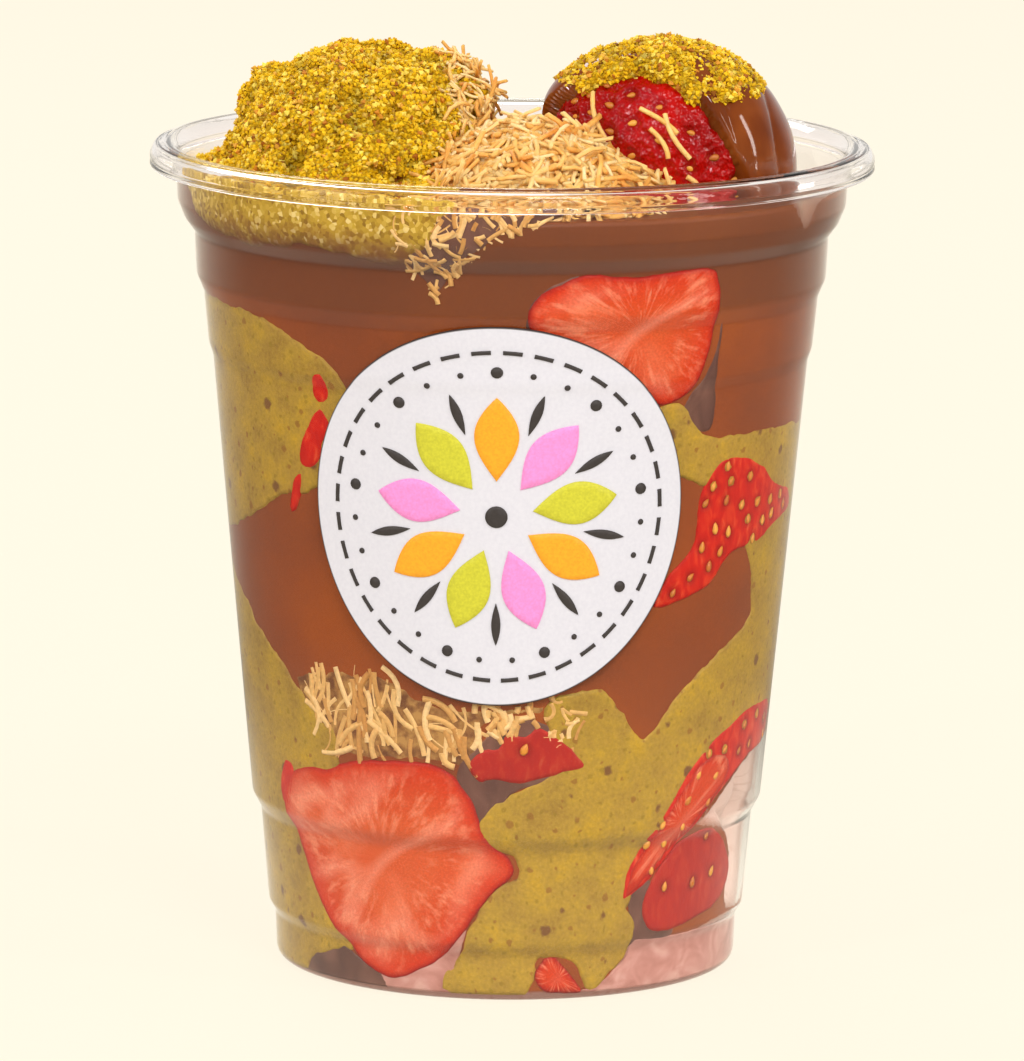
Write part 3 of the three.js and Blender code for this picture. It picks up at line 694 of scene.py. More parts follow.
films = add(tree, "ShaderNodeValToRGB", {"Fac": level.outputs[0]}, stops=[
    (0.0, "#AE867C"), (0.072, "#AE867C"), (0.085, "#D6BAAC"), (0.90, "#D6BAAC"), (0.93, "#8C7462")])
smear = add(tree, "ShaderNodeTexNoise", {
    "Vector": coords, "Scale": per_mm(9), "Detail": 4.0, "Distortion": 1.5})
centred = add(tree, "ShaderNodeMath", {0: smear.outputs["Fac"], 1: 0.5}, operation="SUBTRACT")
ridge = add(tree, "ShaderNodeMath", {0: centred.outputs[0]}, operation="ABSOLUTE")
trail = add(tree, "ShaderNodeMapRange", {
    "Value": ridge.outputs[0], "From Min": 0.002, "From Max": 0.016, "To Min": 0.72, "To Max": 1.0})
film_share = add(tree, "ShaderNodeMath", {0: film.outputs[0], 1: trail.outputs[0]}, operation="MULTIPLY")
faded = add(tree, "ShaderNodeMix", {
    "Factor": film_share.outputs[0], 6: top_band_shaded.outputs[2], 7: films.outputs["Color"],
}, data_type="RGBA")
skin = add(tree, "ShaderNodeBsdfPrincipled", {
    "Base Color": faded.outputs[2], "Roughness": 0.38, "Specular IOR Level": 0.12,
})
add(tree, "ShaderNodeOutputMaterial", {"Surface": skin.outputs[0]})

body_points, body_faces = stitched(rings)
body_mesh = mesh_of("chocolate_body", body_points, body_faces, {"hollow": np.concatenate(hollows)})
place("chocolate_body", body_mesh, chocolate_cream, "chocolate_cream", "chocolate")

# %% [markdown]
# In a few places thinner dark sauce has run between the cream and the plastic. The same dark
# brown also stands as painted shade: a shadow left of the upper berry, shade round the middle
# berry and shade low at the left. It fills the gaps beside the fruit, so it lies a little less deep
# in the plastic than the fruit does.

# %% Dark sauce and painted shade
SAUCE_AND_SHADE_INTO_WALL = 0.22
SAUCE_AND_SHADE_POOLS = {  # angle and height
    "sauce_beside_berry": [(34.5, 80.4), (37, 83.2), (40, 86), (41.8, 90), (42.4, 95), (43, 90), (42.4, 85),
                           (43.4, 81.7), (43, 78.2), (41, 77.3), (37, 78), (34, 79.2)],
    # painted shadow: a dark crescent left of the upper berry
    "sauce_left_of_berry": [(2.8, 92.6), (3.6, 96), (7.3, 98.5), (12, 100), (12, 98.6), (7, 96), (5.6, 93),
                            (6, 90.2)],
    # painted shade: the dark pocket low at the left, between cream and berry
    "sauce_low_left": [(-61, 1), (-59, 4.6), (-54, 6.2), (-46, 6.2), (-38, 4.4), (-32, 2.8), (-31, 1)],
    "juice_low_left": [(-32, 1), (-32, 3), (-22, 4.4), (-14, 8), (-9, 10.6), (-11, 6), (-13, 3),
                       (-13.5, 1)],
    "sauce_low_right": [(30, 15), (34, 16), (38, 15), (44, 9.4), (44, 7.6), (36, 7), (31, 7), (31, 10)],
    "juice_low_right": [(18.5, 1), (22, 1.6), (27, 3.4), (31.5, 5.6), (33, 7.9), (48, 7.8), (62, 7.6),
                        (80, 7), (92, 4.4), (90, 1)],
    # painted shade: a darker, greyer patch round the middle berry
    "sauce_over_berry": [(-11, 32), (-6, 36), (-1, 38.8), (6, 39.4), (12, 37.5), (16, 34.6), (12, 31),
                         (2, 29.4), (-1, 26.4), (-4.4, 23.4), (-8, 27)],
}

# Thin chocolate sauce: darker and greyer than the cream, streaked where it mixed with juice. The same
# material is painted shade in three patches beside and round the fruit.
dark_sauce_and_painted_shade, tree = new_material("thin dark chocolate sauce")
coords = add(tree, "ShaderNodeTexCoord").outputs["Object"]
streaks = add(tree, "ShaderNodeTexNoise", {
    "Vector": coords, "Scale": per_mm(6), "Detail": 4.0, "Distortion": 1.2})
browns = add(tree, "ShaderNodeValToRGB", {"Fac": streaks.outputs["Fac"]}, stops=[
    (0.3, "#583830"), (0.5, "#69463A"), (0.7, "#7C5648")])
skin = add(tree, "ShaderNodeBsdfPrincipled", {
    "Base Color": browns.outputs["Color"], "Roughness": 0.3, "Specular IOR Level": 0.25})
add(tree, "ShaderNodeOutputMaterial", {"Surface": skin.outputs[0]})

# Berry juice with a little cream in it: dusty pink, cloudy.
pink_juice, tree = new_material("cloudy berry juice")
coords = add(tree, "ShaderNodeTexCoord").outputs["Object"]
clouds = add(tree, "ShaderNodeTexNoise", {
    "Vector": coords, "Scale": per_mm(4), "Detail": 3.0, "Distortion": 0.8})
pinks = add(tree, "ShaderNodeValToRGB", {"Fac": clouds.outputs["Fac"]}, stops=[
    (0.3, "#AA7468"), (0.5, "#C08C80"), (0.7, "#D0A69A")])
skin = add(tree, "ShaderNodeBsdfPrincipled", {
    "Base Color": pinks.outputs["Color"], "Roughness": 0.3, "Specular IOR Level": 0.2})
add(tree, "ShaderNodeOutputMaterial", {"Surface": skin.outputs[0]})

for number, (name, outline) in enumerate(SAUCE_AND_SHADE_POOLS.items()):
    pool = wall_patch(name, outline, SAUCE_AND_SHADE_INTO_WALL, 3, ragged=0.2, seed=70 + number, roll=0.4)
    place(name, pool, pink_juice if "juice" in name else dark_sauce_and_painted_shade, "chocolate_cream", "chocolate")

# %% [markdown]
# ### Pistachio cream
# The streaks are white chocolate with ground pistachio, so they are mustard yellow with green and
# brown specks of nut. Voronoi cells give scattered specks of uneven size, and two layers of noise
# keep the yellow from looking like paint.

# %% Pistachio cream pieces
CREAM_INTO_WALL = 0.36
nut_cream, tree = new_material("pistachio cream")
coords = add(tree, "ShaderNodeTexCoord").outputs["Object"]
lay = add(tree, "ShaderNodeAttribute", attribute_name="lay").outputs["Vector"]
cloud = add(tree, "ShaderNodeTexNoise", {
    "Vector": coords, "Scale": per_mm(5), "Detail": 5.0, "Roughness": 0.65})
yellows = add(tree, "ShaderNodeValToRGB", {"Fac": cloud.outputs["Fac"]}, stops=[
    (0.30, "#937327"), (0.44, "#A4842D"), (0.56, "#AC8C2A"), (0.70, "#B8941A")])
grain = add(tree, "ShaderNodeTexNoise", {"Vector": coords, "Scale": per_mm(0.45), "Detail": 2.0})
salt = add(tree, "ShaderNodeMapRange", {
    "Value": grain.outputs["Fac"], "From Min": 0.3, "From Max": 0.7, "To Min": 0.88, "To Max": 1.12})
grained = add(tree, "ShaderNodeMix", {
    "Factor": 1.0, 6: yellows.outputs["Color"], 7: salt.outputs["Result"],
}, data_type="RGBA", blend_type="MULTIPLY")
current = grained.outputs[2]
bent = add(tree, "ShaderNodeTexNoise", {"Vector": lay, "Scale": 1.1, "Detail": 2.0})
jagged = add(tree, "ShaderNodeVectorMath", {
    0: bent.outputs["Color"], 1: [0.9, 0.9, 0.0]}, operation="MULTIPLY")
moved = add(tree, "ShaderNodeVectorMath", {0: lay, 1: jagged.outputs[0]}, operation="ADD")
NUT_SPECKS = (  # spacing in mm, reach, colour and strength of ground nut, nut skin and toasted bits
    (1.8, 0.24, "#8A7010", 0.6), (3.1, 0.2, "#8A5A1C", 0.75), (7.5, 0.15, "#6A3E22", 0.85))
for spacing_mm, reach, hex_colour, strength in NUT_SPECKS:
    cells = add(tree, "ShaderNodeTexVoronoi", {
        "Vector": moved.outputs[0], "Scale": 1 / spacing_mm}, voronoi_dimensions="2D")
    uneven = add(tree, "ShaderNodeSeparateColor", {0: cells.outputs["Color"]})
    shrunk = add(tree, "ShaderNodeMath", {
        0: uneven.outputs[0], 1: 1.2 * reach, 2: cells.outputs["Distance"]}, operation="MULTIPLY_ADD")
    shape = add(tree, "ShaderNodeMapRange", {
        "Value": shrunk.outputs[0], "From Min": reach, "From Max": 0.65 * reach,
        "To Min": 0.0, "To Max": strength})
    specked = add(tree, "ShaderNodeMix", {
        "Factor": shape.outputs["Result"], 6: current, 7: linear(hex_colour)}, data_type="RGBA")
    current = specked.outputs[2]
relief = add(tree, "ShaderNodeBump", {
    "Height": cloud.outputs["Fac"], "Strength": 0.4, "Distance": 0.0006})
skin = add(tree, "ShaderNodeBsdfPrincipled", {
    "Base Color": current, "Roughness": 0.5, "Specular IOR Level": 0.25, "Normal": relief.outputs[0],
    "Subsurface Weight": 0.12, "Subsurface Radius": [0.8, 0.6, 0.3], "Subsurface Scale": 0.002,
})
add(tree, "ShaderNodeOutputMaterial", {"Surface": skin.outputs[0]})

for number, (name, (thickness, outline)) in enumerate(CREAMS.items()):
    mesh = wall_patch(name, outline, CREAM_INTO_WALL, thickness, ragged=0.5, grow=0.4, seed=number + 3)
    place(name.replace("pistachio", "nut"), mesh, nut_cream, "pistachio_cream", name)

# %% [markdown]
# ### Strawberries against the wall
# Some berries show their cut face: orange red flesh, pale veins that spread from a pale core, and a
# thin dark red skin at the rim. Others show their skin, with gold seeds in shallow pits. The same
# helper makes both. Attributes on the points carry the rim distance and the flat place to the
# materials, so that veins and skin follow each berry.

# %% Strawberry materials
BERRY_INTO_WALL = 0.44
SKIN_BERRIES = (
    "strawberry_right", "strawberry_lower_right", "strawberry_bottom_right", "strawberry_centre",
    "strawberry_left", "strawberry_back_middle", "strawberry_back_side")

# Cut strawberry flesh: wet and a little translucent, so light spreads in it.
flesh, tree = new_material("cut strawberry flesh")
rim = add(tree, "ShaderNodeAttribute", attribute_name="rim").outputs["Fac"]
lay = add(tree, "ShaderNodeAttribute", attribute_name="lay").outputs["Vector"]
bearing = add(tree, "ShaderNodeVectorMath", {0: lay}, operation="NORMALIZE")
inward = add(tree, "ShaderNodeMath", {0: rim, 1: 0.045}, operation="MULTIPLY")
depth_way = add(tree, "ShaderNodeCombineXYZ", {"Z": inward.outputs[0]})
spokes = add(tree, "ShaderNodeVectorMath", {0: bearing.outputs[0], 1: depth_way.outputs[0]}, operation="ADD")
fibres = add(tree, "ShaderNodeTexNoise", {
    "Vector": spokes.outputs[0], "Scale": 7.5, "Detail": 3.5, "Roughness": 0.6})
blots = add(tree, "ShaderNodeTexNoise", {"Vector": lay, "Scale": 0.11, "Detail": 3.0, "Distortion": 0.6})
reds = add(tree, "ShaderNodeMapRange", {"Value": rim, "From Min": 0.0, "From Max": 9.0})
by_rim = add(tree, "ShaderNodeValToRGB", {"Fac": reds.outputs["Result"]}, stops=[
    (0.0, "#86100C"), (0.045, "#AE200C"), (0.12, "#C4340C"), (0.45, "#C6481A"), (1.0, "#CA5828")])
veins = add(tree, "ShaderNodeMapRange", {
    "Value": fibres.outputs["Fac"], "From Min": 0.48, "From Max": 0.66, "To Min": 0.0, "To Max": 0.75})
middle = add(tree, "ShaderNodeAttribute", attribute_name="core").outputs["Fac"]
veined_belt = add(tree, "ShaderNodeValToRGB", {"Fac": middle}, stops=[
    (0.02, "#000000"), (0.22, "#FFFFFF"), (0.55, "#FFFFFF"), (0.80, "#000000")])
deep = add(tree, "ShaderNodeMapRange", {"Value": rim, "From Min": 0.8, "From Max": 4.0})
vein_share = add(tree, "ShaderNodeMath", {
    0: veins.outputs[0], 1: veined_belt.outputs["Color"]}, operation="MULTIPLY")
veined = add(tree, "ShaderNodeMix", {
    "Factor": vein_share.outputs[0], 6: by_rim.outputs["Color"], 7: linear("#DE8A66")}, data_type="RGBA")
core = add(tree, "ShaderNodeMapRange", {
    "Value": blots.outputs["Fac"], "From Min": 0.48, "From Max": 0.70, "To Min": 0.0, "To Max": 0.5})
core_share = add(tree, "ShaderNodeMath", {0: core.outputs[0], 1: deep.outputs[0]}, operation="MULTIPLY")
cored = add(tree, "ShaderNodeMix", {
    "Factor": core_share.outputs[0], 6: veined.outputs[2], 7: linear("#DC7A54")}, data_type="RGBA")
drawn = add(tree, "ShaderNodeVectorRotate", {"Vector": lay, "Angle": -0.75}, rotation_type="Z_AXIS")
slender = add(tree, "ShaderNodeVectorMath", {
    0: drawn.outputs[0], 1: [0.045, 0.085, 1.0]}, operation="MULTIPLY")
wisps = add(tree, "ShaderNodeTexNoise", {
    "Vector": slender.outputs[0], "Scale": 1.0, "Detail": 1.5, "Roughness": 0.4, "Distortion": 0.3})
centred = add(tree, "ShaderNodeMath", {0: wisps.outputs["Fac"], 1: 0.5}, operation="SUBTRACT")
ridge = add(tree, "ShaderNodeMath", {0: centred.outputs[0]}, operation="ABSOLUTE")
wisp = add(tree, "ShaderNodeMapRange", {
    "Value": ridge.outputs[0], "From Min": 0.0, "From Max": 0.07, "To Min": 0.4, "To Max": 0.0})
wisp_share = add(tree, "ShaderNodeMath", {0: wisp.outputs[0], 1: deep.outputs[0]}, operation="MULTIPLY")
hazed = add(tree, "ShaderNodeMix", {
    "Factor": wisp_share.outputs[0], 6: cored.outputs[2], 7: linear("#EAA286")}, data_type="RGBA")
relief = add(tree, "ShaderNodeBump", {"Height": fibres.outputs["Fac"], "Strength": 0.25, "Distance": 0.0004})
cells = add(tree, "ShaderNodeTexNoise", {"Vector": lay, "Scale": 3.0, "Detail": 2.0})
wet_grain = add(tree, "ShaderNodeMapRange", {
    "Value": cells.outputs["Fac"], "From Min": 0.3, "From Max": 0.7, "To Min": 0.86, "To Max": 1.1})
grained = add(tree, "ShaderNodeMix", {
    "Factor": 1.0, 6: hazed.outputs[2], 7: wet_grain.outputs["Result"],
}, data_type="RGBA", blend_type="MULTIPLY")
skin = add(tree, "ShaderNodeBsdfPrincipled", {
    "Base Color": grained.outputs[2], "Roughness": 0.35, "Specular IOR Level": 0.12,
    "Normal": relief.outputs[0],
    "Subsurface Weight": 0.25, "Subsurface Radius": [1.0, 0.3, 0.15], "Subsurface Scale": 0.002,
})
add(tree, "ShaderNodeOutputMaterial", {"Surface": skin.outputs[0]})

# Ripe strawberry skin. Against the plastic it has no gloss of its own, and shows fine pale flecks. Painted
# shade makes two berries darker and duller, and darkens the pits round the seeds.
pressed_skin, tree = new_material("strawberry skin on the plastic")
coords = add(tree, "ShaderNodeTexCoord").outputs["Object"]
pit_shade = add(tree, "ShaderNodeAttribute", attribute_name="pit_shade").outputs["Fac"]
lay = add(tree, "ShaderNodeAttribute", attribute_name="lay").outputs["Vector"]
slender = add(tree, "ShaderNodeVectorMath", {0: lay, 1: [1.0, 0.5, 1.0]}, operation="MULTIPLY")
flecks = add(tree, "ShaderNodeTexNoise", {
    "Vector": slender.outputs[0], "Scale": 0.7, "Detail": 4.0, "Distortion": 0.6})
reds = add(tree, "ShaderNodeValToRGB", {"Fac": flecks.outputs["Fac"]}, stops=[
    (0.3, "#B4120A"), (0.5, "#C41C0C"), (0.62, "#CE3416"), (0.76, "#D8603C")])
skin_shade = add(tree, "ShaderNodeAttribute", attribute_name="skin_shade").outputs["Fac"]
# painted shade: two berries are mixed towards a darker, duller red
skin_shaded = add(tree, "ShaderNodeMix", {
    "Factor": skin_shade, 6: reds.outputs["Color"], 7: linear("#902A24")}, data_type="RGBA")
# painted shade: the skin is darker in the pits round the seeds
pit_shaded = add(tree, "ShaderNodeMix", {
    "Factor": pit_shade, 6: skin_shaded.outputs[2], 7: linear("#7A0804")}, data_type="RGBA")
skin = add(tree, "ShaderNodeBsdfPrincipled", {
    "Base Color": pit_shaded.outputs[2], "Roughness": 0.35, "Specular IOR Level": 0.12,
    "Subsurface Weight": 0.1, "Subsurface Radius": [1.0, 0.15, 0.1], "Subsurface Scale": 0.0015,
})
add(tree, "ShaderNodeOutputMaterial", {"Surface": skin.outputs[0]})

# The open berry's skin is waxy and wet: a clear gloss over deep red, with painted shade in the pits.
berry_skin, tree = new_material("ripe strawberry skin")
coords = add(tree, "ShaderNodeTexCoord").outputs["Object"]
pit_shade = add(tree, "ShaderNodeAttribute", attribute_name="pit_shade").outputs["Fac"]
blots = add(tree, "ShaderNodeTexNoise", {"Vector": coords, "Scale": per_mm(9), "Detail": 3.0})
reds = add(tree, "ShaderNodeValToRGB", {"Fac": blots.outputs["Fac"]}, stops=[
    (0.3, "#7E0302"), (0.5, "#A00604"), (0.7, "#BC0E06")])
# painted shade: the skin is darker in the pits round the seeds
pit_shaded = add(tree, "ShaderNodeMix", {
    "Factor": pit_shade, 6: reds.outputs["Color"], 7: linear("#6E0404")}, data_type="RGBA")
fine = add(tree, "ShaderNodeTexNoise", {"Vector": coords, "Scale": per_mm(1.7), "Detail": 2.0})
relief = add(tree, "ShaderNodeBump", {"Height": fine.outputs["Fac"], "Strength": 1.0, "Distance": 0.0014})
skin = add(tree, "ShaderNodeBsdfPrincipled", {
    "Base Color": pit_shaded.outputs[2], "Roughness": 0.05, "Specular IOR Level": 0.3,
    "Normal": relief.outputs[0],
})
add(tree, "ShaderNodeOutputMaterial", {"Surface": skin.outputs[0]})

# Strawberry seed: a dry gold husk, some seeds browner than others.
husk, tree = new_material("strawberry seed husk")
tint = add(tree, "ShaderNodeAttribute", attribute_name="tint").outputs["Fac"]
golds = add(tree, "ShaderNodeValToRGB", {"Fac": tint}, stops=[
    (0.0, "#B4621A"), (0.5, "#CE8424"), (1.0, "#DDA23C")])
skin = add(tree, "ShaderNodeBsdfPrincipled", {"Base Color": golds.outputs["Color"], "Roughness": 0.4})
add(tree, "ShaderNodeOutputMaterial", {"Surface": skin.outputs[0]})

# %% [markdown]
# Seeds repeat by the dozen, so one Geometry Nodes tree sets them. It puts a piece on every point of
# a cloud, turned by the point's own angles and scaled by its own size, and gives each a random
# tint. The result is turned into a plain mesh, and the cloud is thrown away.

# %% Geometry Nodes: pieces on points
def new_tree(name, sockets):
    tree = bpy.data.node_groups.new(name, "GeometryNodeTree")
    for socket_name, kind in sockets:
        tree.interface.new_socket(socket_name, in_out="INPUT", socket_type=kind)
    tree.interface.new_socket("Result", in_out="OUTPUT", socket_type="NodeSocketGeometry")
    return tree, add(tree, "NodeGroupInput").outputs


def random_tint(tree, made, seed, domain):
    """Give each point or curve a random number, which its material reads as `tint`."""
    chance = add(tree, "FunctionNodeRandomValue", {"Seed": seed}, data_type="FLOAT")
    tinted = add(tree, "GeometryNodeStoreNamedAttribute", {
        "Geometry": made, "Name": "tint", "Value": chance.outputs[1]}, data_type="FLOAT", domain=domain)
    return tinted.outputs[0]


def end_tree(tree, made, material):
    """End a tree in real geometry that carries its material."""
    real = add(tree, "GeometryNodeRealizeInstances", {"Geometry": made})
    dressed = add(tree, "GeometryNodeSetMaterial", {"Geometry": real.outputs[0], "Material": material})
    add(tree, "NodeGroupOutput", {0: dressed.outputs[0]})


set_tree, given = new_tree("set pieces on points", (
    ("Points", "NodeSocketGeometry"), ("Pieces", "NodeSocketCollection"), ("Seed", "NodeSocketInt"),
    ("Material", "NodeSocketMaterial")))
tinted = random_tint(set_tree, given["Points"], given["Seed"], "POINT")
turn = add(set_tree, "GeometryNodeInputNamedAttribute", {"Name": "turn"}, data_type="FLOAT_VECTOR")
size = add(set_tree, "GeometryNodeInputNamedAttribute", {"Name": "size"}, data_type="FLOAT")
angles = add(set_tree, "FunctionNodeEulerToRotation", {0: turn.outputs[0]})
shapes = add(set_tree, "GeometryNodeCollectionInfo", {
    "Collection": given["Pieces"], "Separate Children": True, "Reset Children": True})
copies = add(set_tree, "GeometryNodeInstanceOnPoints", {
    "Points": tinted, "Instance": shapes.outputs[0], "Pick Instance": True,
    "Rotation": angles.outputs[0], "Scale": size.outputs[0]})
end_tree(set_tree, copies.outputs[0], given["Material"])


def collection_of(name, meshes):
    """Loose shapes for the trees to copy. They are never shown themselves."""
    shapes = bpy.data.collections.new(name)
    for number, mesh in enumerate(meshes):
        shapes.objects.link(bpy.data.objects.new(f"{name}_{number}", mesh))
    return shapes


def evaluated_mesh(host):
    return bpy.data.meshes.new_from_object(host.evaluated_get(bpy.context.evaluated_depsgraph_get()))


def grown(name, host_mesh, tree, **values):
    """Run a tree on a mesh and return the result as a plain mesh."""
    host = bpy.data.objects.new(name, host_mesh)
    bpy.context.scene.collection.objects.link(host)
    modifier = host.modifiers.new("nodes", "NODES")
    modifier.node_group = tree
    for item in tree.interface.items_tree:
        key = item.name.replace(" ", "_")
        if item.in_out == "INPUT" and key in values:
            modifier[item.identifier] = values[key]
    result = evaluated_mesh(host)
    host.modifiers.remove(modifier)
    bpy.data.objects.remove(host)
    result.name = name
    return result


def point_cloud(name, points, normals, spins, sizes):
    """A mesh of loose points, each with the turn and size of the piece that stands on it."""
    turns = []
    for normal, spin in zip(normals, spins):
        lean = Vector(normal).to_track_quat("Z", "Y").to_matrix() @ Matrix.Rotation(spin, 3, "Z")
        turns.append(tuple(lean.to_euler()))
    mesh = line_mesh(name, points)
    give(mesh, "turn", turns)
    give(mesh, "size", sizes)
    return mesh


def seed_shape():
    """One seed a millimetre long: a flat teardrop with its blunt end at -Y."""
    rings = [np.array([[0, -0.8, 0]])]
    for y, half_width in ((-0.68, 0.3), (-0.35, 0.5), (0.0, 0.52), (0.35, 0.4), (0.65, 0.22)):
        bearing = 2 * math.pi * np.arange(8) / 8
        x, z = half_width * np.cos(bearing), 0.6 * half_width * np.sin(bearing)
        rings.append(np.column_stack([x, np.full(8, y), z]))
    rings.append(np.array([[0, 0.9, 0]]))
    return mesh_of("seed_shape", *stitched(rings))


seed_shapes = collection_of("seed_shapes", [seed_shape()])

# %% Strawberries behind the wall
def seed_places(outline, spacing, margin, seed):
    """Staggered rows of places for seeds inside an outline, a little uneven."""
    chance = np.random.default_rng(seed)
    loop = smooth_loop(flat(outline), 0.7)
    places = staggered(loop.min(0), loop.max(0), spacing, 0.8 * spacing, first=1.2)
    places = places + chance.uniform(-0.22, 0.22, places.shape) * spacing
    places = places[inside_loop(places, loop)]
    return places[rim_distance(places, loop) > margin]


def near_seed(points, seeds, reach):
    """From 1 at a seed to 0 at `reach` millimetres from it."""
    if len(seeds) == 0:
        return np.zeros(len(points))
    finder = nearest_finder(seeds)
    return np.array([max(0.0, 1 - finder.find(p)[2] / reach) for p in points])


MORE_PIECES = {  # chips of fruit beside the larger ones, and the node that each belongs to
    "strawberry_chip_top": ("strawberry_left", 4, [
        (-40.5, 84.6), (-38, 85.2), (-36.6, 83.2), (-37, 81.4), (-39.4, 80.8), (-41, 82.4)]),
    "strawberry_chip_low": ("strawberry_left", 4, [
        (-47.4, 70.4), (-44.8, 71), (-45.4, 68.4), (-48, 65.4), (-49.4, 66)]),
    "strawberry_chip_corner": ("strawberry_lower_left", 6, [
        (-57.6, 30.6), (-54.4, 29.8), (-55, 26.4), (-57, 23.6), (-60.4, 24.4), (-60.6, 27.8)]),
}
ROWS_APART = {"strawberry_bottom_right": 6.2, "strawberry_centre": 5.2}  # rows of seeds, in millimetres
SHADED_SKIN = {"strawberry_bottom_right": 0.5, "strawberry_centre": 0.55}  # share of painted shade over the skin, which makes it darker and duller
PIT_REACH, PIT_DEPTH = 1.4, 0.3
pieces = {name: (name, thickness, outline) for name, (thickness, outline) in STRAWBERRIES.items()}
pieces |= MORE_PIECES
for number, (name, (node, thickness, outline)) in enumerate(pieces.items()):
    shows_skin = name in SKIN_BERRIES or name in MORE_PIECES
    mesh = wall_patch(name, outline, BERRY_INTO_WALL, thickness, ragged=0.22, seed=number + 11, spacing=0.7)
    points = points_of(mesh)
    rows_apart = ROWS_APART.get(name, 3.7)
    give(mesh, "skin_shade", [SHADED_SKIN.get(name, 0.0)] * len(points))
    seeded = shows_skin and name not in MORE_PIECES and name != "strawberry_left"
    places = seed_places(outline, rows_apart, 0.9, number) if seeded else np.zeros((0, 2))
    angles = np.degrees(places[:, 0] / FLAT_RADIUS)
    seats = on_wall(angles, places[:, 1], -BERRY_INTO_WALL)
    pits = near_seed(points, seats, PIT_REACH)
    # painted shade: the skin materials darken the pits round the seeds
    give(mesh, "pit_shade", pits)
    sunk = points.copy()
    from_axis = np.maximum(np.hypot(points[:, 0], points[:, 1]), 1)
    sunk[:, :2] *= (1 - PIT_DEPTH * (pits ** 2) / from_axis)[:, None]
    mesh.vertices.foreach_set("co", (sunk * MM).ravel())
    finish = pressed_skin if shows_skin else flesh
    place(name.replace("strawberry", "berry"), mesh, finish, "strawberry", node)
    if len(seats):
        chance = np.random.default_rng(100 + number)
        outward = np.column_stack([seats[:, :2], 0 * seats[:, 0]])
        cloud = point_cloud("seats", seats, outward, chance.normal(-0.35, 0.25, len(seats)),
                            chance.uniform(0.75, 1.05, len(seats)))
        seeds = grown(name + "_seeds", cloud, set_tree, Pieces=seed_shapes, Seed=number, Material=husk)
        place(name.replace("strawberry", "seeds"), seeds, husk, "strawberry")

CUT_STRETCH = [
    (29.6, 13.8), (36, 16.6), (43, 20.6), (50, 24.6), (57, 27.6), (58, 31), (52, 32.5), (46, 30.5),
    (40, 26.5), (34, 21), (30, 17)]
cut = wall_patch("cut_stretch", CUT_STRETCH, BERRY_INTO_WALL + 0.07, 4, ragged=0.3, seed=61)
place("berry_cut_stretch", cut, flesh, "strawberry", "strawberry_lower_right")

# %% [markdown]
# ## Label
# A round paper sticker is bent round the wall. It is one thin disc with a rounded edge. Its print
# is a plain rosette of petals in bright colours, made as very thin shapes on top.

# %% Sticker
LABEL = {"angle": -2.4, "height": 67.2, "radius": 25.8, "off": 0.1, "thickness": 0.24}
LABEL_RADIUS = float(outer_radius(LABEL["height"]))
BRIDGED = 7  # paper is too stiff to follow the wall over less than this, up and down


def label_radius(height):
    """The sticker bridges the creases of the wall instead of dipping into them."""
    spread = np.mean([outer_radius(height + d) for d in np.linspace(-BRIDGED, BRIDGED, 15)], axis=0)
    return np.maximum(spread, outer_radius(height)) + LABEL["off"]


def on_label(points, lift):
    """Places over the sticker's back, from flat points in millimetres about its middle."""
    height = LABEL["height"] + points[:, 1]
    angle = math.radians(LABEL["angle"]) + points[:, 0] / LABEL_RADIUS
    radius = label_radius(height) + lift
    return np.column_stack([radius * np.sin(angle), -radius * np.cos(angle), height])


def circle(radius, count=160):
    bearing = 2 * math.pi * np.arange(count) / count
    return radius * np.column_stack([np.cos(bearing), np.sin(bearing)])


# Coated sticker paper: cool white with a soft sheen and a dark printed edge.
sticker_paper, tree = new_material("coated sticker paper")
rim = add(tree, "ShaderNodeAttribute", attribute_name="rim").outputs["Fac"]
coords = add(tree, "ShaderNodeTexCoord").outputs["Object"]
tooth = add(tree, "ShaderNodeTexNoise", {"Vector": coords, "Scale": per_mm(0.5), "Detail": 2.0})
whites = add(tree, "ShaderNodeValToRGB", {"Fac": tooth.outputs["Fac"]}, stops=[
    (0.3, "#CDCCD6"), (0.7, "#D3D2DB")])
edge = add(tree, "ShaderNodeMapRange", {
    "Value": rim, "From Min": 0.16, "From Max": 0.32, "To Min": 1.0, "To Max": 0.0})
edged = add(tree, "ShaderNodeMix", {
    "Factor": edge.outputs["Result"], 6: whites.outputs["Color"], 7: linear("#3A3130")}, data_type="RGBA")
skin = add(tree, "ShaderNodeBsdfPrincipled", {
    "Base Color": edged.outputs[2], "Roughness": 0.5, "Specular IOR Level": 0.35})
add(tree, "ShaderNodeOutputMaterial", {"Surface": skin.outputs[0]})


def label_plate(name, loop, bottom, top, insets, edge, spacing=0.9):
    def front(points, rim):
        return on_label(points, bottom + (top - bottom) * np.sqrt(np.clip(rim / edge, 0, 1)))

    def back(points, rim):
        return on_label(points, bottom + 0 * rim)

    points, faces, attributes = cushion(loop, spacing, insets, front, back)
    return mesh_of(name, points, faces, attributes)


label_loop = circle(LABEL["radius"], 420)
label_mesh = label_plate("paper_label", label_loop, 0, LABEL["thickness"], (0.1, 0.2, 0.32, 0.6), 0.1)
place("paper_label", label_mesh, sticker_paper, "label_paper", "label")

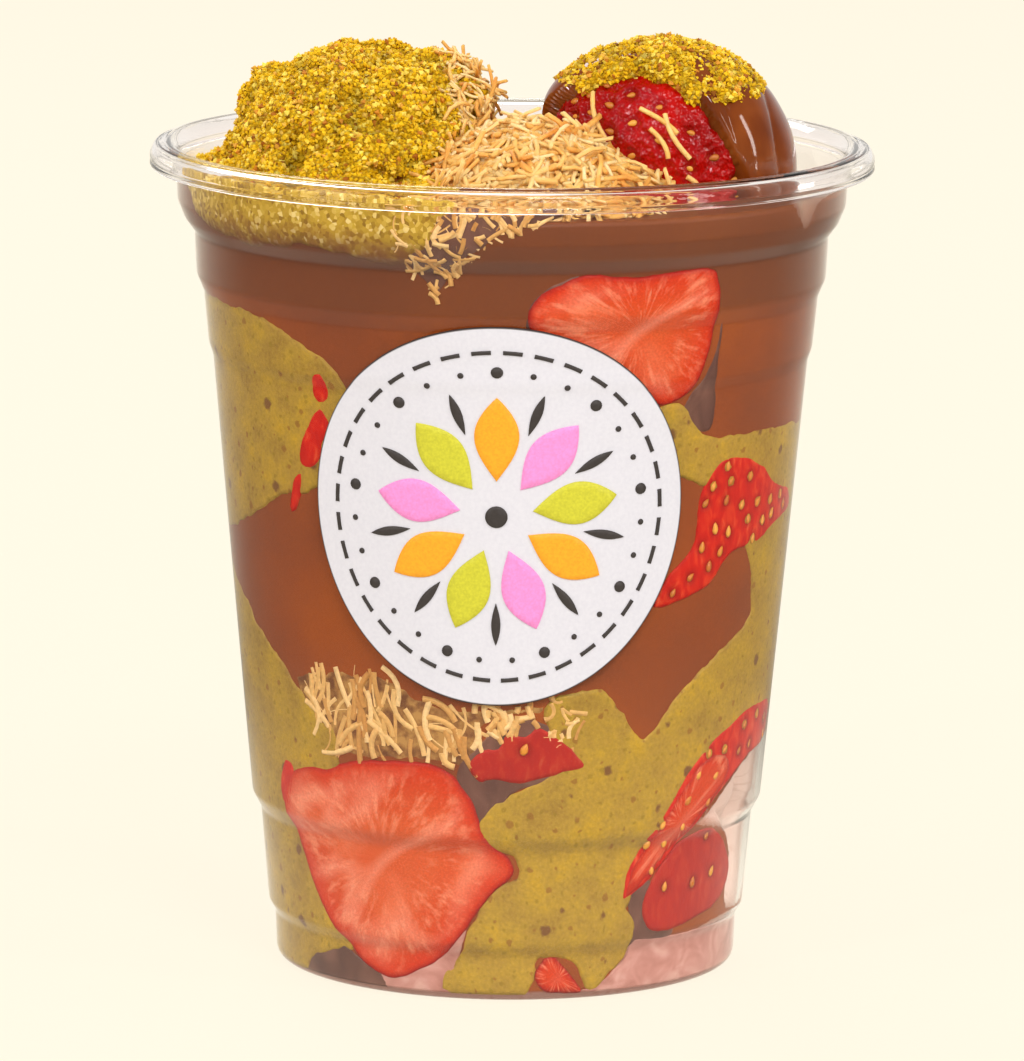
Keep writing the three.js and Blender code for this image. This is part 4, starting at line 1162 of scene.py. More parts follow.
# %% Printed rosette
def printed_ink(name, hex_colour):
    """Offset ink on coated paper: even, with the paper's soft sheen and a fine dither."""
    ink, tree = new_material(name)
    coords = add(tree, "ShaderNodeTexCoord").outputs["Object"]
    dither = add(tree, "ShaderNodeTexNoise", {"Vector": coords, "Scale": per_mm(0.35), "Detail": 1.0})
    level = add(tree, "ShaderNodeMapRange", {
        "Value": dither.outputs["Fac"], "From Min": 0.3, "From Max": 0.7, "To Min": 0.9, "To Max": 1.08})
    shade = add(tree, "ShaderNodeMix", {
        "Factor": 1.0, 6: linear(hex_colour), 7: level.outputs["Result"],
    }, data_type="RGBA", blend_type="MULTIPLY")
    skin = add(tree, "ShaderNodeBsdfPrincipled", {
        "Base Color": shade.outputs[2], "Roughness": 0.5, "Specular IOR Level": 0.35})
    add(tree, "ShaderNodeOutputMaterial", {"Surface": skin.outputs[0]})
    return ink


INKS = {
    "orange": printed_ink("orange ink", "#F0A01C"), "lime": printed_ink("lime ink", "#C4C030"),
    "pink": printed_ink("pink ink", "#EE8CCC"), "charcoal": printed_ink("charcoal ink", "#3A3432"),
}
PRINT_TOP = LABEL["thickness"] + 0.13


def petal(length, width, near, turn):
    """A pointed leaf that starts `near` millimetres from the middle and points along `turn`."""
    along = np.linspace(0, 1, 60)
    half_width = 0.5 * width * np.sin(math.pi * along ** 1.1) ** 0.9
    side = np.column_stack([near + length * along, half_width])
    other = np.column_stack([near + length * along[-2:0:-1], -half_width[-2:0:-1]])
    loop = np.concatenate([side, other])
    c, s = math.cos(turn), math.sin(turn)
    return loop @ np.array([[c, s], [-s, c]])


def printed(name, loops, ink):
    """Join flat shapes into one printed piece."""
    points, faces, count = [], [], 0
    for loop in loops:
        mesh = label_plate(name, loop, LABEL["thickness"] - 0.08, PRINT_TOP, (0.06,), 0.06)
        points.append(points_of(mesh))
        faces += [tuple(count + v for v in f.vertices) for f in mesh.polygons]
        count += len(mesh.vertices)
        bpy.data.meshes.remove(mesh)
    place(name, mesh_of(name, np.concatenate(points), faces), INKS[ink], "label_paper")


PETALS, DOTS, DASHES = 9, 27, 36
DOT_RING, DASH_RING = 19.6, (22.0, 22.6)
UPWARDS = math.radians(90)
for k, ink in enumerate(("orange", "lime", "pink")):
    turns = [UPWARDS + 2 * math.pi * (k + 3 * i) / PETALS for i in range(PETALS // 3)]
    printed(f"print_{ink}_petals", [petal(11.4, 5.8, 4.8, turn) for turn in turns], ink)
between = [UPWARDS + 2 * math.pi * (i + 0.5) / PETALS for i in range(PETALS)]
printed("print_slim_leaves", [petal(6.0, 1.3, 11.6, turn) for turn in between], "charcoal")
dots = [
    circle(0.42 if i % 3 else 0.8, 14) + DOT_RING * np.array([math.cos(a), math.sin(a)])
    for i, a in enumerate(UPWARDS + 2 * math.pi * np.arange(DOTS) / DOTS)
]
printed("print_dots", dots + [circle(1.5, 40)], "charcoal")
dashes = []
for i in range(DASHES):
    span = np.linspace(-0.055, 0.055, 6) + 2 * math.pi * (i + 0.5) / DASHES
    arc = np.column_stack([np.cos(span), np.sin(span)])
    dashes.append(np.concatenate([DASH_RING[1] * arc, DASH_RING[0] * arc[::-1]]))
printed("print_dashes", dashes, "charcoal")

# %% [markdown]
# ## Heaps of crumbs and shreds
# Each heap is a mound of thousands of small things. Only the outer layer shows, so a core is made
# from overlapping balls, melted into one skin by a voxel remesh and roughened. A second tree then
# scatters loose grains or shreds over the core. Points painted with `cover` say how densely.

# %% Core of a heap
def melted(lumps, voxel):
    """One closed skin round overlapping ellipsoids, as points, normals and faces."""
    balls = bmesh.new()
    for centre, radii in lumps:
        bmesh.ops.create_icosphere(balls, subdivisions=3, radius=1.0, matrix=(
            Matrix.Translation(centre) @ Matrix.Diagonal((*radii, 1))))
    mesh = bpy.data.meshes.new("lumps")
    balls.to_mesh(mesh)
    balls.free()
    host = bpy.data.objects.new("lumps", mesh)
    bpy.context.scene.collection.objects.link(host)
    remesh = host.modifiers.new("melt", "REMESH")
    remesh.mode = "VOXEL"
    remesh.voxel_size = voxel
    result = evaluated_mesh(host)
    bpy.data.objects.remove(host)
    points = np.array([v.co for v in result.vertices])
    normals = np.array([v.normal for v in result.vertices])
    faces = [tuple(f.vertices) for f in result.polygons]
    bpy.data.meshes.remove(result)
    return points, normals, faces


THROAT = 44.5  # radius of the opening inside the rolled lip
WALL_TOP, CLEAR_OF_LIP = 108.6, 112.2
GOLDEN_TURN = math.pi * (3 - math.sqrt(5))  # steps of this angle never line up


def kept_in_cup(points, clearance=0.35):
    """Pull points that would poke through the wall back to just inside its plastic."""
    wall = outer_radius(np.minimum(points[:, 2], WALL_TOP)) - WALL
    limit = np.where(points[:, 2] > CLEAR_OF_LIP, np.inf, np.minimum(wall, THROAT) - clearance)
    radius = np.hypot(points[:, 0], points[:, 1])
    squeeze = np.minimum(1, limit / np.maximum(radius, 1e-6))
    moved = points.copy()
    moved[:, :2] *= squeeze[:, None]
    return moved


HEAP_BORDER = {"point": (-15, -42, 103), "lean": 25, "turn": -6}  # a plane, turned by degrees
lean, turn = math.radians(HEAP_BORDER["lean"]), math.radians(HEAP_BORDER["turn"])
border_normal = np.array([math.cos(lean) * math.cos(turn), math.cos(lean) * math.sin(turn), -math.sin(lean)])


def held_beside(points, side, overlap):
    """Press a heap flat where it would cross the border: side 1 is the shreds, -1 the crumbs."""
    past = -side * ((points - np.array(HEAP_BORDER["point"])) @ border_normal) - overlap
    return points + side * np.maximum(past, 0)[:, None] * border_normal


def surface_lumps(centre, radii, count, sizes, seed):
    """Small balls spread evenly over the upper side of an ellipsoid."""
    chance = np.random.default_rng(seed)
    lumps = []
    for i in range(count):
        up = 1 - 0.95 * (i + 0.5) / count
        flatness = math.sqrt(1 - up * up)
        bearing = i * GOLDEN_TURN
        way = np.array([math.cos(bearing) * flatness, math.sin(bearing) * flatness, up])
        size = chance.uniform(*sizes)
        at = np.array(centre) + way * (np.array(radii) - 0.95 * size) + chance.uniform(-0.6, 0.6, 3)
        lumps.append((tuple(at), (size, size, 0.85 * size)))
    return lumps


# %% Geometry Nodes: scatter over a surface
scatter_tree, given = new_tree("scatter over a surface", (
    ("Surface", "NodeSocketGeometry"), ("Pieces", "NodeSocketCollection"),
    ("Per square metre", "NodeSocketFloat"), ("Smallest", "NodeSocketFloat"), ("Largest", "NodeSocketFloat"),
    ("Tilt", "NodeSocketFloat"), ("Lift", "NodeSocketFloat"), ("Seed", "NodeSocketInt"),
    ("Material", "NodeSocketMaterial")))
cover = add(scatter_tree, "GeometryNodeInputNamedAttribute", {"Name": "cover"}, data_type="FLOAT")
density = add(scatter_tree, "ShaderNodeMath", {
    0: given["Per square metre"], 1: cover.outputs[0]}, operation="MULTIPLY")
spots = add(scatter_tree, "GeometryNodeDistributePointsOnFaces", {
    "Mesh": given["Surface"], "Density": density.outputs[0], "Seed": given["Seed"]})
tinted = random_tint(scatter_tree, spots.outputs[0], given["Seed"], "POINT")
raised = add(scatter_tree, "ShaderNodeVectorMath", {
    0: spots.outputs["Normal"], "Scale": given["Lift"]}, operation="SCALE")
lifted = add(scatter_tree, "GeometryNodeSetPosition", {"Geometry": tinted, "Offset": raised.outputs[0]})
minus = add(scatter_tree, "ShaderNodeMath", {0: given["Tilt"], 1: -1.0}, operation="MULTIPLY")
least = add(scatter_tree, "ShaderNodeCombineXYZ", {
    "X": minus.outputs[0], "Y": minus.outputs[0], "Z": -math.pi})
most = add(scatter_tree, "ShaderNodeCombineXYZ", {"X": given["Tilt"], "Y": given["Tilt"], "Z": math.pi})
toss = add(scatter_tree, "FunctionNodeRandomValue", {
    0: least.outputs[0], 1: most.outputs[0], "Seed": given["Seed"]}, data_type="FLOAT_VECTOR")
tossed = add(scatter_tree, "FunctionNodeEulerToRotation", {0: toss.outputs[0]})
turned = add(scatter_tree, "FunctionNodeRotateRotation", {
    0: spots.outputs["Rotation"], 1: tossed.outputs[0]}, rotation_space="LOCAL")
size = add(scatter_tree, "FunctionNodeRandomValue", {
    2: given["Smallest"], 3: given["Largest"], "Seed": given["Seed"]}, data_type="FLOAT")
shapes = add(scatter_tree, "GeometryNodeCollectionInfo", {
    "Collection": given["Pieces"], "Separate Children": True, "Reset Children": True})
copies = add(scatter_tree, "GeometryNodeInstanceOnPoints", {
    "Points": lifted.outputs[0], "Instance": shapes.outputs[0], "Pick Instance": True,
    "Rotation": turned.outputs[0], "Scale": size.outputs[1]})
end_tree(scatter_tree, copies.outputs[0], given["Material"])

# %% Crumb shapes and materials
def crumb_shape(seed):
    """A chip of nut about a millimetre across: six uneven corners and eight flat sides."""
    chance = np.random.default_rng(seed)
    corners = np.concatenate([np.eye(3), -np.eye(3)]) * chance.uniform(0.38, 0.62, (6, 1))
    corners = (corners + chance.uniform(-0.12, 0.12, (6, 3))) * chance.uniform(0.75, 1.3, 3)
    sides = [(a, b, c) if a < 3 else (a, c, b) for a in (0, 3) for b in (1, 4) for c in (2, 5)]
    mesh = mesh_of("crumb_shape", corners, sides)
    shade_smooth(mesh, False)
    return mesh


crumb_shapes = collection_of("crumb_shapes", [crumb_shape(seed) for seed in range(8)])

CRUMB_STOPS = [
    (0.0, "#845008"), (0.05, "#B08004"), (0.25, "#C89A06"), (0.5, "#DAAC08"), (0.78, "#E2B818"),
    (0.92, "#ECD45C"), (0.975, "#D08828"), (1.0, "#8A4A10"),
]
# Ground pistachio: dry angular grains, mostly yellow green, some pale and some toasted brown.
loose_crumbs, tree = new_material("ground pistachio grains")
tint = add(tree, "ShaderNodeAttribute", attribute_name="tint").outputs["Fac"]
colours = add(tree, "ShaderNodeValToRGB", {"Fac": tint}, stops=CRUMB_STOPS)
crevice_shade = add(tree, "ShaderNodeAttribute", attribute_name="crevice_shade").outputs["Fac"]
# painted shade: grains lying in the hollows of the core are darker
dim = add(tree, "ShaderNodeMapRange", {
    "Value": crevice_shade, "From Min": 0.05, "From Max": 0.7, "To Min": 1.04, "To Max": 0.45})
shaded = add(tree, "ShaderNodeMix", {
    "Factor": 1.0, 6: colours.outputs["Color"], 7: dim.outputs["Result"],
}, data_type="RGBA", blend_type="MULTIPLY")
skin = add(tree, "ShaderNodeBsdfPrincipled", {
    "Base Color": shaded.outputs[2], "Roughness": 0.6, "Specular IOR Level": 0.18,
    "Subsurface Weight": 0.1, "Subsurface Radius": [0.8, 0.6, 0.2], "Subsurface Scale": 0.0006})
add(tree, "ShaderNodeOutputMaterial", {"Surface": skin.outputs[0]})

# The same grains packed together under the loose ones, in the shade between them. The gaps between the packed
# grains get painted shade.
packed_crumbs, tree = new_material("packed pistachio crumbs")
coords = add(tree, "ShaderNodeTexCoord").outputs["Object"]
cells = add(tree, "ShaderNodeTexVoronoi", {"Vector": coords, "Scale": per_mm(0.5)})
pick = add(tree, "ShaderNodeSeparateColor", {0: cells.outputs["Color"]})
colours = add(tree, "ShaderNodeValToRGB", {"Fac": pick.outputs[0]}, stops=CRUMB_STOPS)
# painted shade: darker towards the edges of each grain
gap = add(tree, "ShaderNodeMapRange", {
    "Value": cells.outputs["Distance"], "From Min": 0.3, "From Max": 0.8, "To Min": 1.0, "To Max": 0.62})
shaded = add(tree, "ShaderNodeMix", {
    "Factor": 1.0, 6: colours.outputs["Color"], 7: gap.outputs["Result"],
}, data_type="RGBA", blend_type="MULTIPLY")
relief = add(tree, "ShaderNodeBump", {
    "Height": cells.outputs["Distance"], "Strength": 0.8, "Distance": 0.0006}, invert=True)
skin = add(tree, "ShaderNodeBsdfPrincipled", {
    "Base Color": shaded.outputs[2], "Roughness": 0.7, "Specular IOR Level": 0.2,
    "Normal": relief.outputs[0]})
add(tree, "ShaderNodeOutputMaterial", {"Surface": skin.outputs[0]})

# %% Pistachio heap
PISTACHIO_HEAP = {"centre": (-20, -4, 103), "radii": (20.5, 29, 22.5), "skirt": (27, 36, 9)}
SHOULDERS = [  # centre and radii: two blunt corners, and the shoulder where shreds lie
    ((-36, -14, 105), (6, 6, 6)), ((-30, -4, 116.5), (6.2, 8, 6.2)), ((-12, -3, 118.5), (7, 9, 5.8)),
    ((-24, -2, 119.5), (7, 9, 5)), ((-8.5, -8, 116.8), (5.2, 7, 4.6)), ((-9, -12, 112), (5.5, 7, 5.5)),
    ((-13, -16, 112), (6, 7, 7)),
]
lumps = [
    (PISTACHIO_HEAP["centre"], tuple(r - 2.4 for r in PISTACHIO_HEAP["radii"])),
    (PISTACHIO_HEAP["centre"], PISTACHIO_HEAP["skirt"]),
]
lumps += surface_lumps(PISTACHIO_HEAP["centre"], PISTACHIO_HEAP["radii"], 130, (1.6, 4.6), 5)
for angle in range(-112, -8, 8):  # crumbs banked against the wall
    reach, bearing = 36 + math.sin(angle), math.radians(angle)
    lumps.append(((reach * math.sin(bearing), -reach * math.cos(bearing), 103),
                  (10, 10, 7.4 + 0.7 * math.cos(3 * angle))))
lumps += SHOULDERS
points, normals, faces = melted(lumps, 0.55)
rough = 1.5 * wobble(points, 4.2, 1) + 1.1 * wobble(points, 1.9, 2) + 0.4 * wobble(points, 0.8, 3)
points = kept_in_cup(held_beside(points + normals * rough[:, None], -1, 1.0))
# painted shade: how deep each point lies in a hollow of the rough core
crevice_shade = np.clip(-rough / 1.6, 0, 1)
SHRED_BORDER = [(106, -11), (112.5, -8.5), (116, -7), (119.3, -8), (122.8, -8.5), (130, -9)]  # z and x
heights, borders = zip(*SHRED_BORDER)
past_border = points[:, 0] - np.interp(points[:, 2], heights, borders) + 1.6 * wobble(points, 5, 6)
under_shreds = np.clip(0.5 + past_border / 2, 0, 1) * (points[:, 2] > 104)
shown = (points[:, 2] > 105) * (1 - 0.75 * under_shreds)
heap_mesh = mesh_of("pistachio_core", points, faces, {"cover": shown, "crevice_shade": crevice_shade})
grains = grown("pistachio_grains", heap_mesh.copy(), scatter_tree, Pieces=crumb_shapes,
               Per_square_metre=3.4e6, Smallest=0.28, Largest=0.85, Tilt=math.pi, Lift=0.0001, Seed=4,
               Material=loose_crumbs)
place("pistachio_core", heap_mesh, packed_crumbs, "pistachio_crumbs", "pistachio_heap")
place("pistachio_grains", grains, loose_crumbs, "pistachio_crumbs", "pistachio_heap")

# Crumbs that slid down inside the wall: dust fills the gaps, and chocolate stains the lower edge.
dusty_crumbs, tree = new_material("dusty pistachio crumbs on the wall")
coords = add(tree, "ShaderNodeTexCoord").outputs["Object"]
height = add(tree, "ShaderNodeSeparateXYZ", {0: coords}).outputs["Z"]
cells = add(tree, "ShaderNodeTexVoronoi", {"Vector": coords, "Scale": per_mm(0.55)})
pick = add(tree, "ShaderNodeSeparateColor", {0: cells.outputs["Color"]})
colours = add(tree, "ShaderNodeValToRGB", {"Fac": pick.outputs[0]}, stops=[
    (0.0, "#8A6820"), (0.3, "#AA8A2A"), (0.7, "#BC9C34"), (0.9, "#D0B458"), (1.0, "#E0CC88")])
shift = add(tree, "ShaderNodeTexNoise", {"Vector": coords, "Scale": per_mm(2.2), "Detail": 4.0})
ragged = add(tree, "ShaderNodeMath", {0: shift.outputs["Fac"], 1: 0.006, 2: height}, operation="MULTIPLY_ADD")
stain = add(tree, "ShaderNodeMapRange", {
    "Value": ragged.outputs[0], "From Min": 0.1048, "From Max": 0.1088, "To Min": 0.9, "To Max": 0.0})
stained = add(tree, "ShaderNodeMix", {
    "Factor": stain.outputs["Result"], 6: colours.outputs["Color"], 7: linear("#7E4C2A")}, data_type="RGBA")
skin = add(tree, "ShaderNodeBsdfPrincipled", {
    "Base Color": stained.outputs[2], "Roughness": 0.7, "Specular IOR Level": 0.1})
add(tree, "ShaderNodeOutputMaterial", {"Surface": skin.outputs[0]})

wedge = wall_patch("crumbs_on_wall", CRUMB_WEDGE, 0.4, 3, ragged=0.7, seed=40)
place("crumbs_on_wall", wedge, dusty_crumbs, "pistachio_crumbs")

# %% [markdown]
# ### Toasted pastry shreds
# The shreds are thin strips of kadayif dough, fried until pale gold: about a millimetre thick and a
# centimetre long, slightly bent. A few bent strips are made from listed sizes and the tree scatters copies.

# %% Shred shapes and materials
def shred_shape(length, thick, bend, twist, seed):
    """A bent strip lying along X, with rounded corners and uneven thickness."""
    chance = np.random.default_rng(seed)
    rings = []
    stations = np.linspace(-0.5, 0.5, 7)
    for k, at in enumerate(stations):
        wide = 0.5 * thick * chance.uniform(0.85, 1.15)
        tall = 0.36 * thick * chance.uniform(0.85, 1.1)
        bearing = 2 * math.pi * (np.arange(5) + 0.5) / 5 + twist * at
        centre = np.array([length * at, bend * (4 * at * at) + 0.12 * chance.normal(), 0.1 * chance.normal()])
        rings.append(centre + np.column_stack([0 * bearing, wide * np.cos(bearing), tall * np.sin(bearing)]))
    rings = [rings[0].mean(0)[None]] + rings + [rings[-1].mean(0)[None]]
    return mesh_of("shred_shape", *stitched(rings))


shred_shapes = collection_of("shred_shapes", [
    shred_shape(length, thick, bend, twist, seed)
    for seed, (length, thick, bend, twist) in enumerate((
        (9.0, 0.9, 1.1, 0.6), (6.0, 1.0, -0.7, 1.0), (11.0, 0.85, 2.1, 0.4), (4.2, 1.0, 0.3, 0.2),
        (8.0, 0.85, -1.6, 1.4), (5.2, 1.05, 0.3, 0.5), (7.0, 0.85, 1.9, 0.8)))
])

# Toasted kadayif dough: dry and pale gold, more orange where the oil browned it.
shred_gold, tree = new_material("toasted pastry shreds")
coords = add(tree, "ShaderNodeTexCoord").outputs["Object"]
tint = add(tree, "ShaderNodeAttribute", attribute_name="tint").outputs["Fac"]
toast = add(tree, "ShaderNodeTexNoise", {"Vector": coords, "Scale": per_mm(4), "Detail": 3.0})
share = add(tree, "ShaderNodeMath", {0: tint, 1: toast.outputs["Fac"]}, operation="MULTIPLY")
golds = add(tree, "ShaderNodeValToRGB", {"Fac": share.outputs[0]}, stops=[
    (0.0, "#F4D69C"), (0.2, "#F0C67C"), (0.42, "#E8AE56"), (0.62, "#D2842C")])
fine = add(tree, "ShaderNodeTexNoise", {"Vector": coords, "Scale": per_mm(0.5), "Detail": 2.0})
relief = add(tree, "ShaderNodeBump", {"Height": fine.outputs["Fac"], "Strength": 0.5, "Distance": 0.0003})
skin = add(tree, "ShaderNodeBsdfPrincipled", {
    "Base Color": golds.outputs["Color"], "Roughness": 0.55, "Specular IOR Level": 0.35,
    "Normal": relief.outputs[0],
    "Subsurface Weight": 0.2, "Subsurface Radius": [1.0, 0.6, 0.3], "Subsurface Scale": 0.001})
add(tree, "ShaderNodeOutputMaterial", {"Surface": skin.outputs[0]})

# The shade between shreds, where toasted ends and crumbs lie deeper.
shred_shade, tree = new_material("shade between pastry shreds")
coords = add(tree, "ShaderNodeTexCoord").outputs["Object"]
dapple = add(tree, "ShaderNodeTexNoise", {"Vector": coords, "Scale": per_mm(1.4), "Detail": 3.0})
browns = add(tree, "ShaderNodeValToRGB", {"Fac": dapple.outputs["Fac"]}, stops=[
    (0.3, "#9C5414"), (0.5, "#C47E2E"), (0.7, "#DEA558")])
relief = add(tree, "ShaderNodeBump", {"Height": dapple.outputs["Fac"], "Strength": 0.7, "Distance": 0.0008})
skin = add(tree, "ShaderNodeBsdfPrincipled", {
    "Base Color": browns.outputs["Color"], "Roughness": 0.7, "Specular IOR Level": 0.2,
    "Normal": relief.outputs[0]})
add(tree, "ShaderNodeOutputMaterial", {"Surface": skin.outputs[0]})

# %% Pastry heap
PASTRY_HEAP = {"centre": (5, -20, 102), "radii": (22, 20, 16), "skirt": (24, 19, 8)}
lumps = [
    (PASTRY_HEAP["centre"], tuple(r - 1.6 for r in PASTRY_HEAP["radii"])),
    (PASTRY_HEAP["centre"], PASTRY_HEAP["skirt"]),
]
lumps += surface_lumps(PASTRY_HEAP["centre"], [r - 0.8 for r in PASTRY_HEAP["radii"]], 40, (1.6, 3.2), 8)
points, normals, faces = melted(lumps, 0.7)
rough = 0.6 * wobble(points, 3.5, 4) + 0.35 * wobble(points, 1.4, 5)
points = kept_in_cup(held_beside(points + normals * rough[:, None], 1, 0.6))
slope = 0.2 * np.maximum(points[:, 0] - 3, 0)  # the heap is lower beside the berry
points[:, 2] -= np.where(points[:, 2] > 104, slope, 0)
shown = (points[:, 2] > 104.5).astype(float)
pastry_mesh = mesh_of("pastry_core", points, faces, {"cover": shown})
shreds = grown("pastry_shreds", pastry_mesh.copy(), scatter_tree, Pieces=shred_shapes,
               Per_square_metre=0.95e6, Smallest=0.75, Largest=1.1, Tilt=0.2, Lift=0.0003, Seed=9,
               Material=shred_gold)
shoulder_mesh = heap_mesh.copy()
shoulder_mesh.attributes["cover"].data.foreach_set("value", under_shreds)
draped = grown("shoulder_shreds", shoulder_mesh, scatter_tree, Pieces=shred_shapes,
               Per_square_metre=0.8e6, Smallest=0.5, Largest=0.8, Tilt=0.25, Lift=0.0003, Seed=19,
               Material=shred_gold)
place("pastry_core", pastry_mesh, shred_shade, "toasted_pastry", "pastry_heap")
place("shoulder_shreds", draped, shred_gold, "toasted_pastry", "pastry_heap")
place("pastry_shreds", shreds, shred_gold, "toasted_pastry", "pastry_heap")

# %% [markdown]
# Against the wall each shred lies flat on the plastic. A path is drawn for every shred as a short
# bent line on the wall, and a third tree turns the paths into round strips with closed ends. They
# are soaked with cream, so they are yellower than dry ones, and look flatter.

# %% Geometry Nodes: strips along paths
strip_tree, given = new_tree("strips along paths", (
    ("Paths", "NodeSocketGeometry"), ("Thickness", "NodeSocketFloat"), ("Seed", "NodeSocketInt"),
    ("Material", "NodeSocketMaterial")))
lines = add(strip_tree, "GeometryNodeMeshToCurve", {"Mesh": given["Paths"]})
tinted = random_tint(strip_tree, lines.outputs[0], given["Seed"], "CURVE")
uneven = add(strip_tree, "FunctionNodeRandomValue", {
    2: 0.8, 3: 1.15, "Seed": given["Seed"]}, data_type="FLOAT")
varied = add(strip_tree, "GeometryNodeSetCurveRadius", {"Curve": tinted, "Radius": uneven.outputs[1]})
section = add(strip_tree, "GeometryNodeCurvePrimitiveCircle", {
    "Resolution": 8, "Radius": given["Thickness"]})
strips = add(strip_tree, "GeometryNodeCurveToMesh", {
    "Curve": varied.outputs[0], "Profile Curve": section.outputs[0], "Fill Caps": True})
end_tree(strip_tree, strips.outputs[0], given["Material"])

# Pastry shreds soaked in cream: satin, more yellow and less contrasty than dry ones.
soaked_shreds, tree = new_material("soaked pastry shreds")
coords = add(tree, "ShaderNodeTexCoord").outputs["Object"]
tint = add(tree, "ShaderNodeAttribute", attribute_name="tint").outputs["Fac"]
golds = add(tree, "ShaderNodeValToRGB", {"Fac": tint}, stops=[
    (0.0, "#C08A48"), (0.35, "#D8AC68"), (0.7, "#E4BE7E"), (1.0, "#ECCC92")])
fine = add(tree, "ShaderNodeTexNoise", {"Vector": coords, "Scale": per_mm(0.5), "Detail": 2.0})
flour = add(tree, "ShaderNodeMapRange", {
    "Value": fine.outputs["Fac"], "From Min": 0.3, "From Max": 0.7, "To Min": 0.88, "To Max": 1.08})
floured = add(tree, "ShaderNodeMix", {
    "Factor": 1.0, 6: golds.outputs["Color"], 7: flour.outputs["Result"],
}, data_type="RGBA", blend_type="MULTIPLY")
skin = add(tree, "ShaderNodeBsdfPrincipled", {
    "Base Color": floured.outputs[2], "Roughness": 0.5, "Specular IOR Level": 0.15})
add(tree, "ShaderNodeOutputMaterial", {"Surface": skin.outputs[0]})


# Between the soaked shreds lie crumbs of them and the brown of the cream behind; its darker browns are partly
# painted shade.
soaked_shade, tree = new_material("cream and crumbs between soaked shreds")
coords = add(tree, "ShaderNodeTexCoord").outputs["Object"]
dapple = add(tree, "ShaderNodeTexNoise", {"Vector": coords, "Scale": per_mm(1.6), "Detail": 4.0})
browns = add(tree, "ShaderNodeValToRGB", {"Fac": dapple.outputs["Fac"]}, stops=[
    (0.35, "#6E4428"), (0.5, "#94693A"), (0.62, "#B48A4C")])
skin = add(tree, "ShaderNodeBsdfPrincipled", {
    "Base Color": browns.outputs["Color"], "Roughness": 0.5, "Specular IOR Level": 0.15})
add(tree, "ShaderNodeOutputMaterial", {"Surface": skin.outputs[0]})


TRIES_EACH = 40


def wall_shreds(name, outline, count, thickness, into_wall, lengths, seed, deep=1.0, spread=0.38):
    """Bent strips on the wall that lie within an outline, near ones in about the same direction."""
    chance = np.random.default_rng(seed)
    loop = smooth_loop(flat(outline), 0.7)
    low, high = loop.min(0), loop.max(0)
    points, edges = [], []
    for _ in range(TRIES_EACH * count):
        if count == 0:
            break
        middle = chance.uniform(low, high)
        grain = noise.noise(Vector((*middle, 3.0 * seed)) / 7.5)
        bearing = 1.85 + 1.5 * grain + chance.normal(0, spread)
        length, bend = chance.uniform(*lengths), chance.normal(0, 0.11)
        along = np.linspace(-0.5, 0.5, 7)
        bow = bend * length * (4 * along ** 2)
        x = middle[0] + length * along * math.cos(bearing) - bow * math.sin(bearing)
        y = middle[1] + length * along * math.sin(bearing) + bow * math.cos(bearing)
        if not inside_loop(np.column_stack([x, y])[1:6], loop).all():
            continue
        count -= 1
        start = len(points)
        layer = chance.uniform(0, deep)
        points += on_wall(np.degrees(x / FLAT_RADIUS), y, thickness - into_wall + layer).tolist()
        edges += [(start + k, start + k + 1) for k in range(len(along) - 1)]
    strips = grown(name, line_mesh(name, points, edges), strip_tree, Thickness=thickness * MM, Seed=seed,
                   Material=soaked_shreds)
    shade_smooth(strips)
    return strips


SMALL_BITS = [
    (-9, 42), (-2, 42.4), (9, 42.6), (15, 42.4), (17, 38), (15, 33), (10, 35), (3, 36), (-4, 37), (-9, 38)]
shade = wall_patch("pastry_on_wall", PASTRY_PATCH, 0.16, 9, ragged=0.5, grow=-0.8, seed=50)
place("pastry_on_wall", shade, soaked_shade, "toasted_pastry", "pastry_patch")
strands = wall_shreds("shreds_on_wall", PASTRY_PATCH, 210, 0.5, 0.5, (2.5, 7.5), 7, spread=0.42)
place("shreds_on_wall", strands, soaked_shreds, "toasted_pastry", "pastry_patch")
bits = wall_shreds("shred_bits_on_wall", SMALL_BITS, 42, 0.45, 0.5, (0.6, 3.2), 8, deep=0.1, spread=1.5)
place("shred_bits_on_wall", bits, soaked_shreds, "toasted_pastry", "pastry_patch")

wedge = wall_patch("pastry_wedge", PASTRY_WEDGE, 0.2, 1.2, ragged=0.5, grow=-0.5, seed=51)
place("pastry_wedge", wedge, dark_sauce_and_painted_shade, "toasted_pastry")
strands = wall_shreds("wedge_shreds", PASTRY_WEDGE, 380, 0.36, 0.5, (0.8, 3.4), 17, spread=0.8)
place("wedge_shreds", strands, soaked_shreds, "toasted_pastry")

# %% [markdown]
# ## The dipped strawberry
# A whole berry lies on its side with the tip up to the left. Skin, chocolate coat and crumbs are
# three closed skins over the same turned shape, each pushed in or out. Where one should end it
# simply dives under the layer below, which gives the rounded edge that poured chocolate has.

# %% Berry shape
TOP_BERRY = {
    "centre": (20.8, -10, 112.6), "length": 32.6, "radius": 12.7, "tilt": 23, "coat": 1.5, "crumbs": 1.2}
WINDOW = [  # where the red skin shows, as x and z on the front
    (5.8, 117.2), (7.6, 119.7), (10.0, 121.6), (12.9, 122.9), (16.9, 123.4), (20.2, 122.6), (23.5, 120.6),
    (25.6, 118.6), (27.6, 115.6), (29.4, 112.2), (30.4, 108.0), (30.0, 100.0), (8.0, 100.0), (5.0, 112.0)]
CRUMB_LINE = [  # lower edge of the crumbs, as x and z
    (3.0, 121.5), (5.5, 120.6), (8.0, 120.2), (10.0, 121.0), (13.2, 122.4), (16.9, 122.9), (20.6, 121.9),
    (23.5, 120.1), (25.5, 119.1), (28.2, 118.9), (31.3, 118.9), (33.2, 120.4), (34.5, 123.0)]


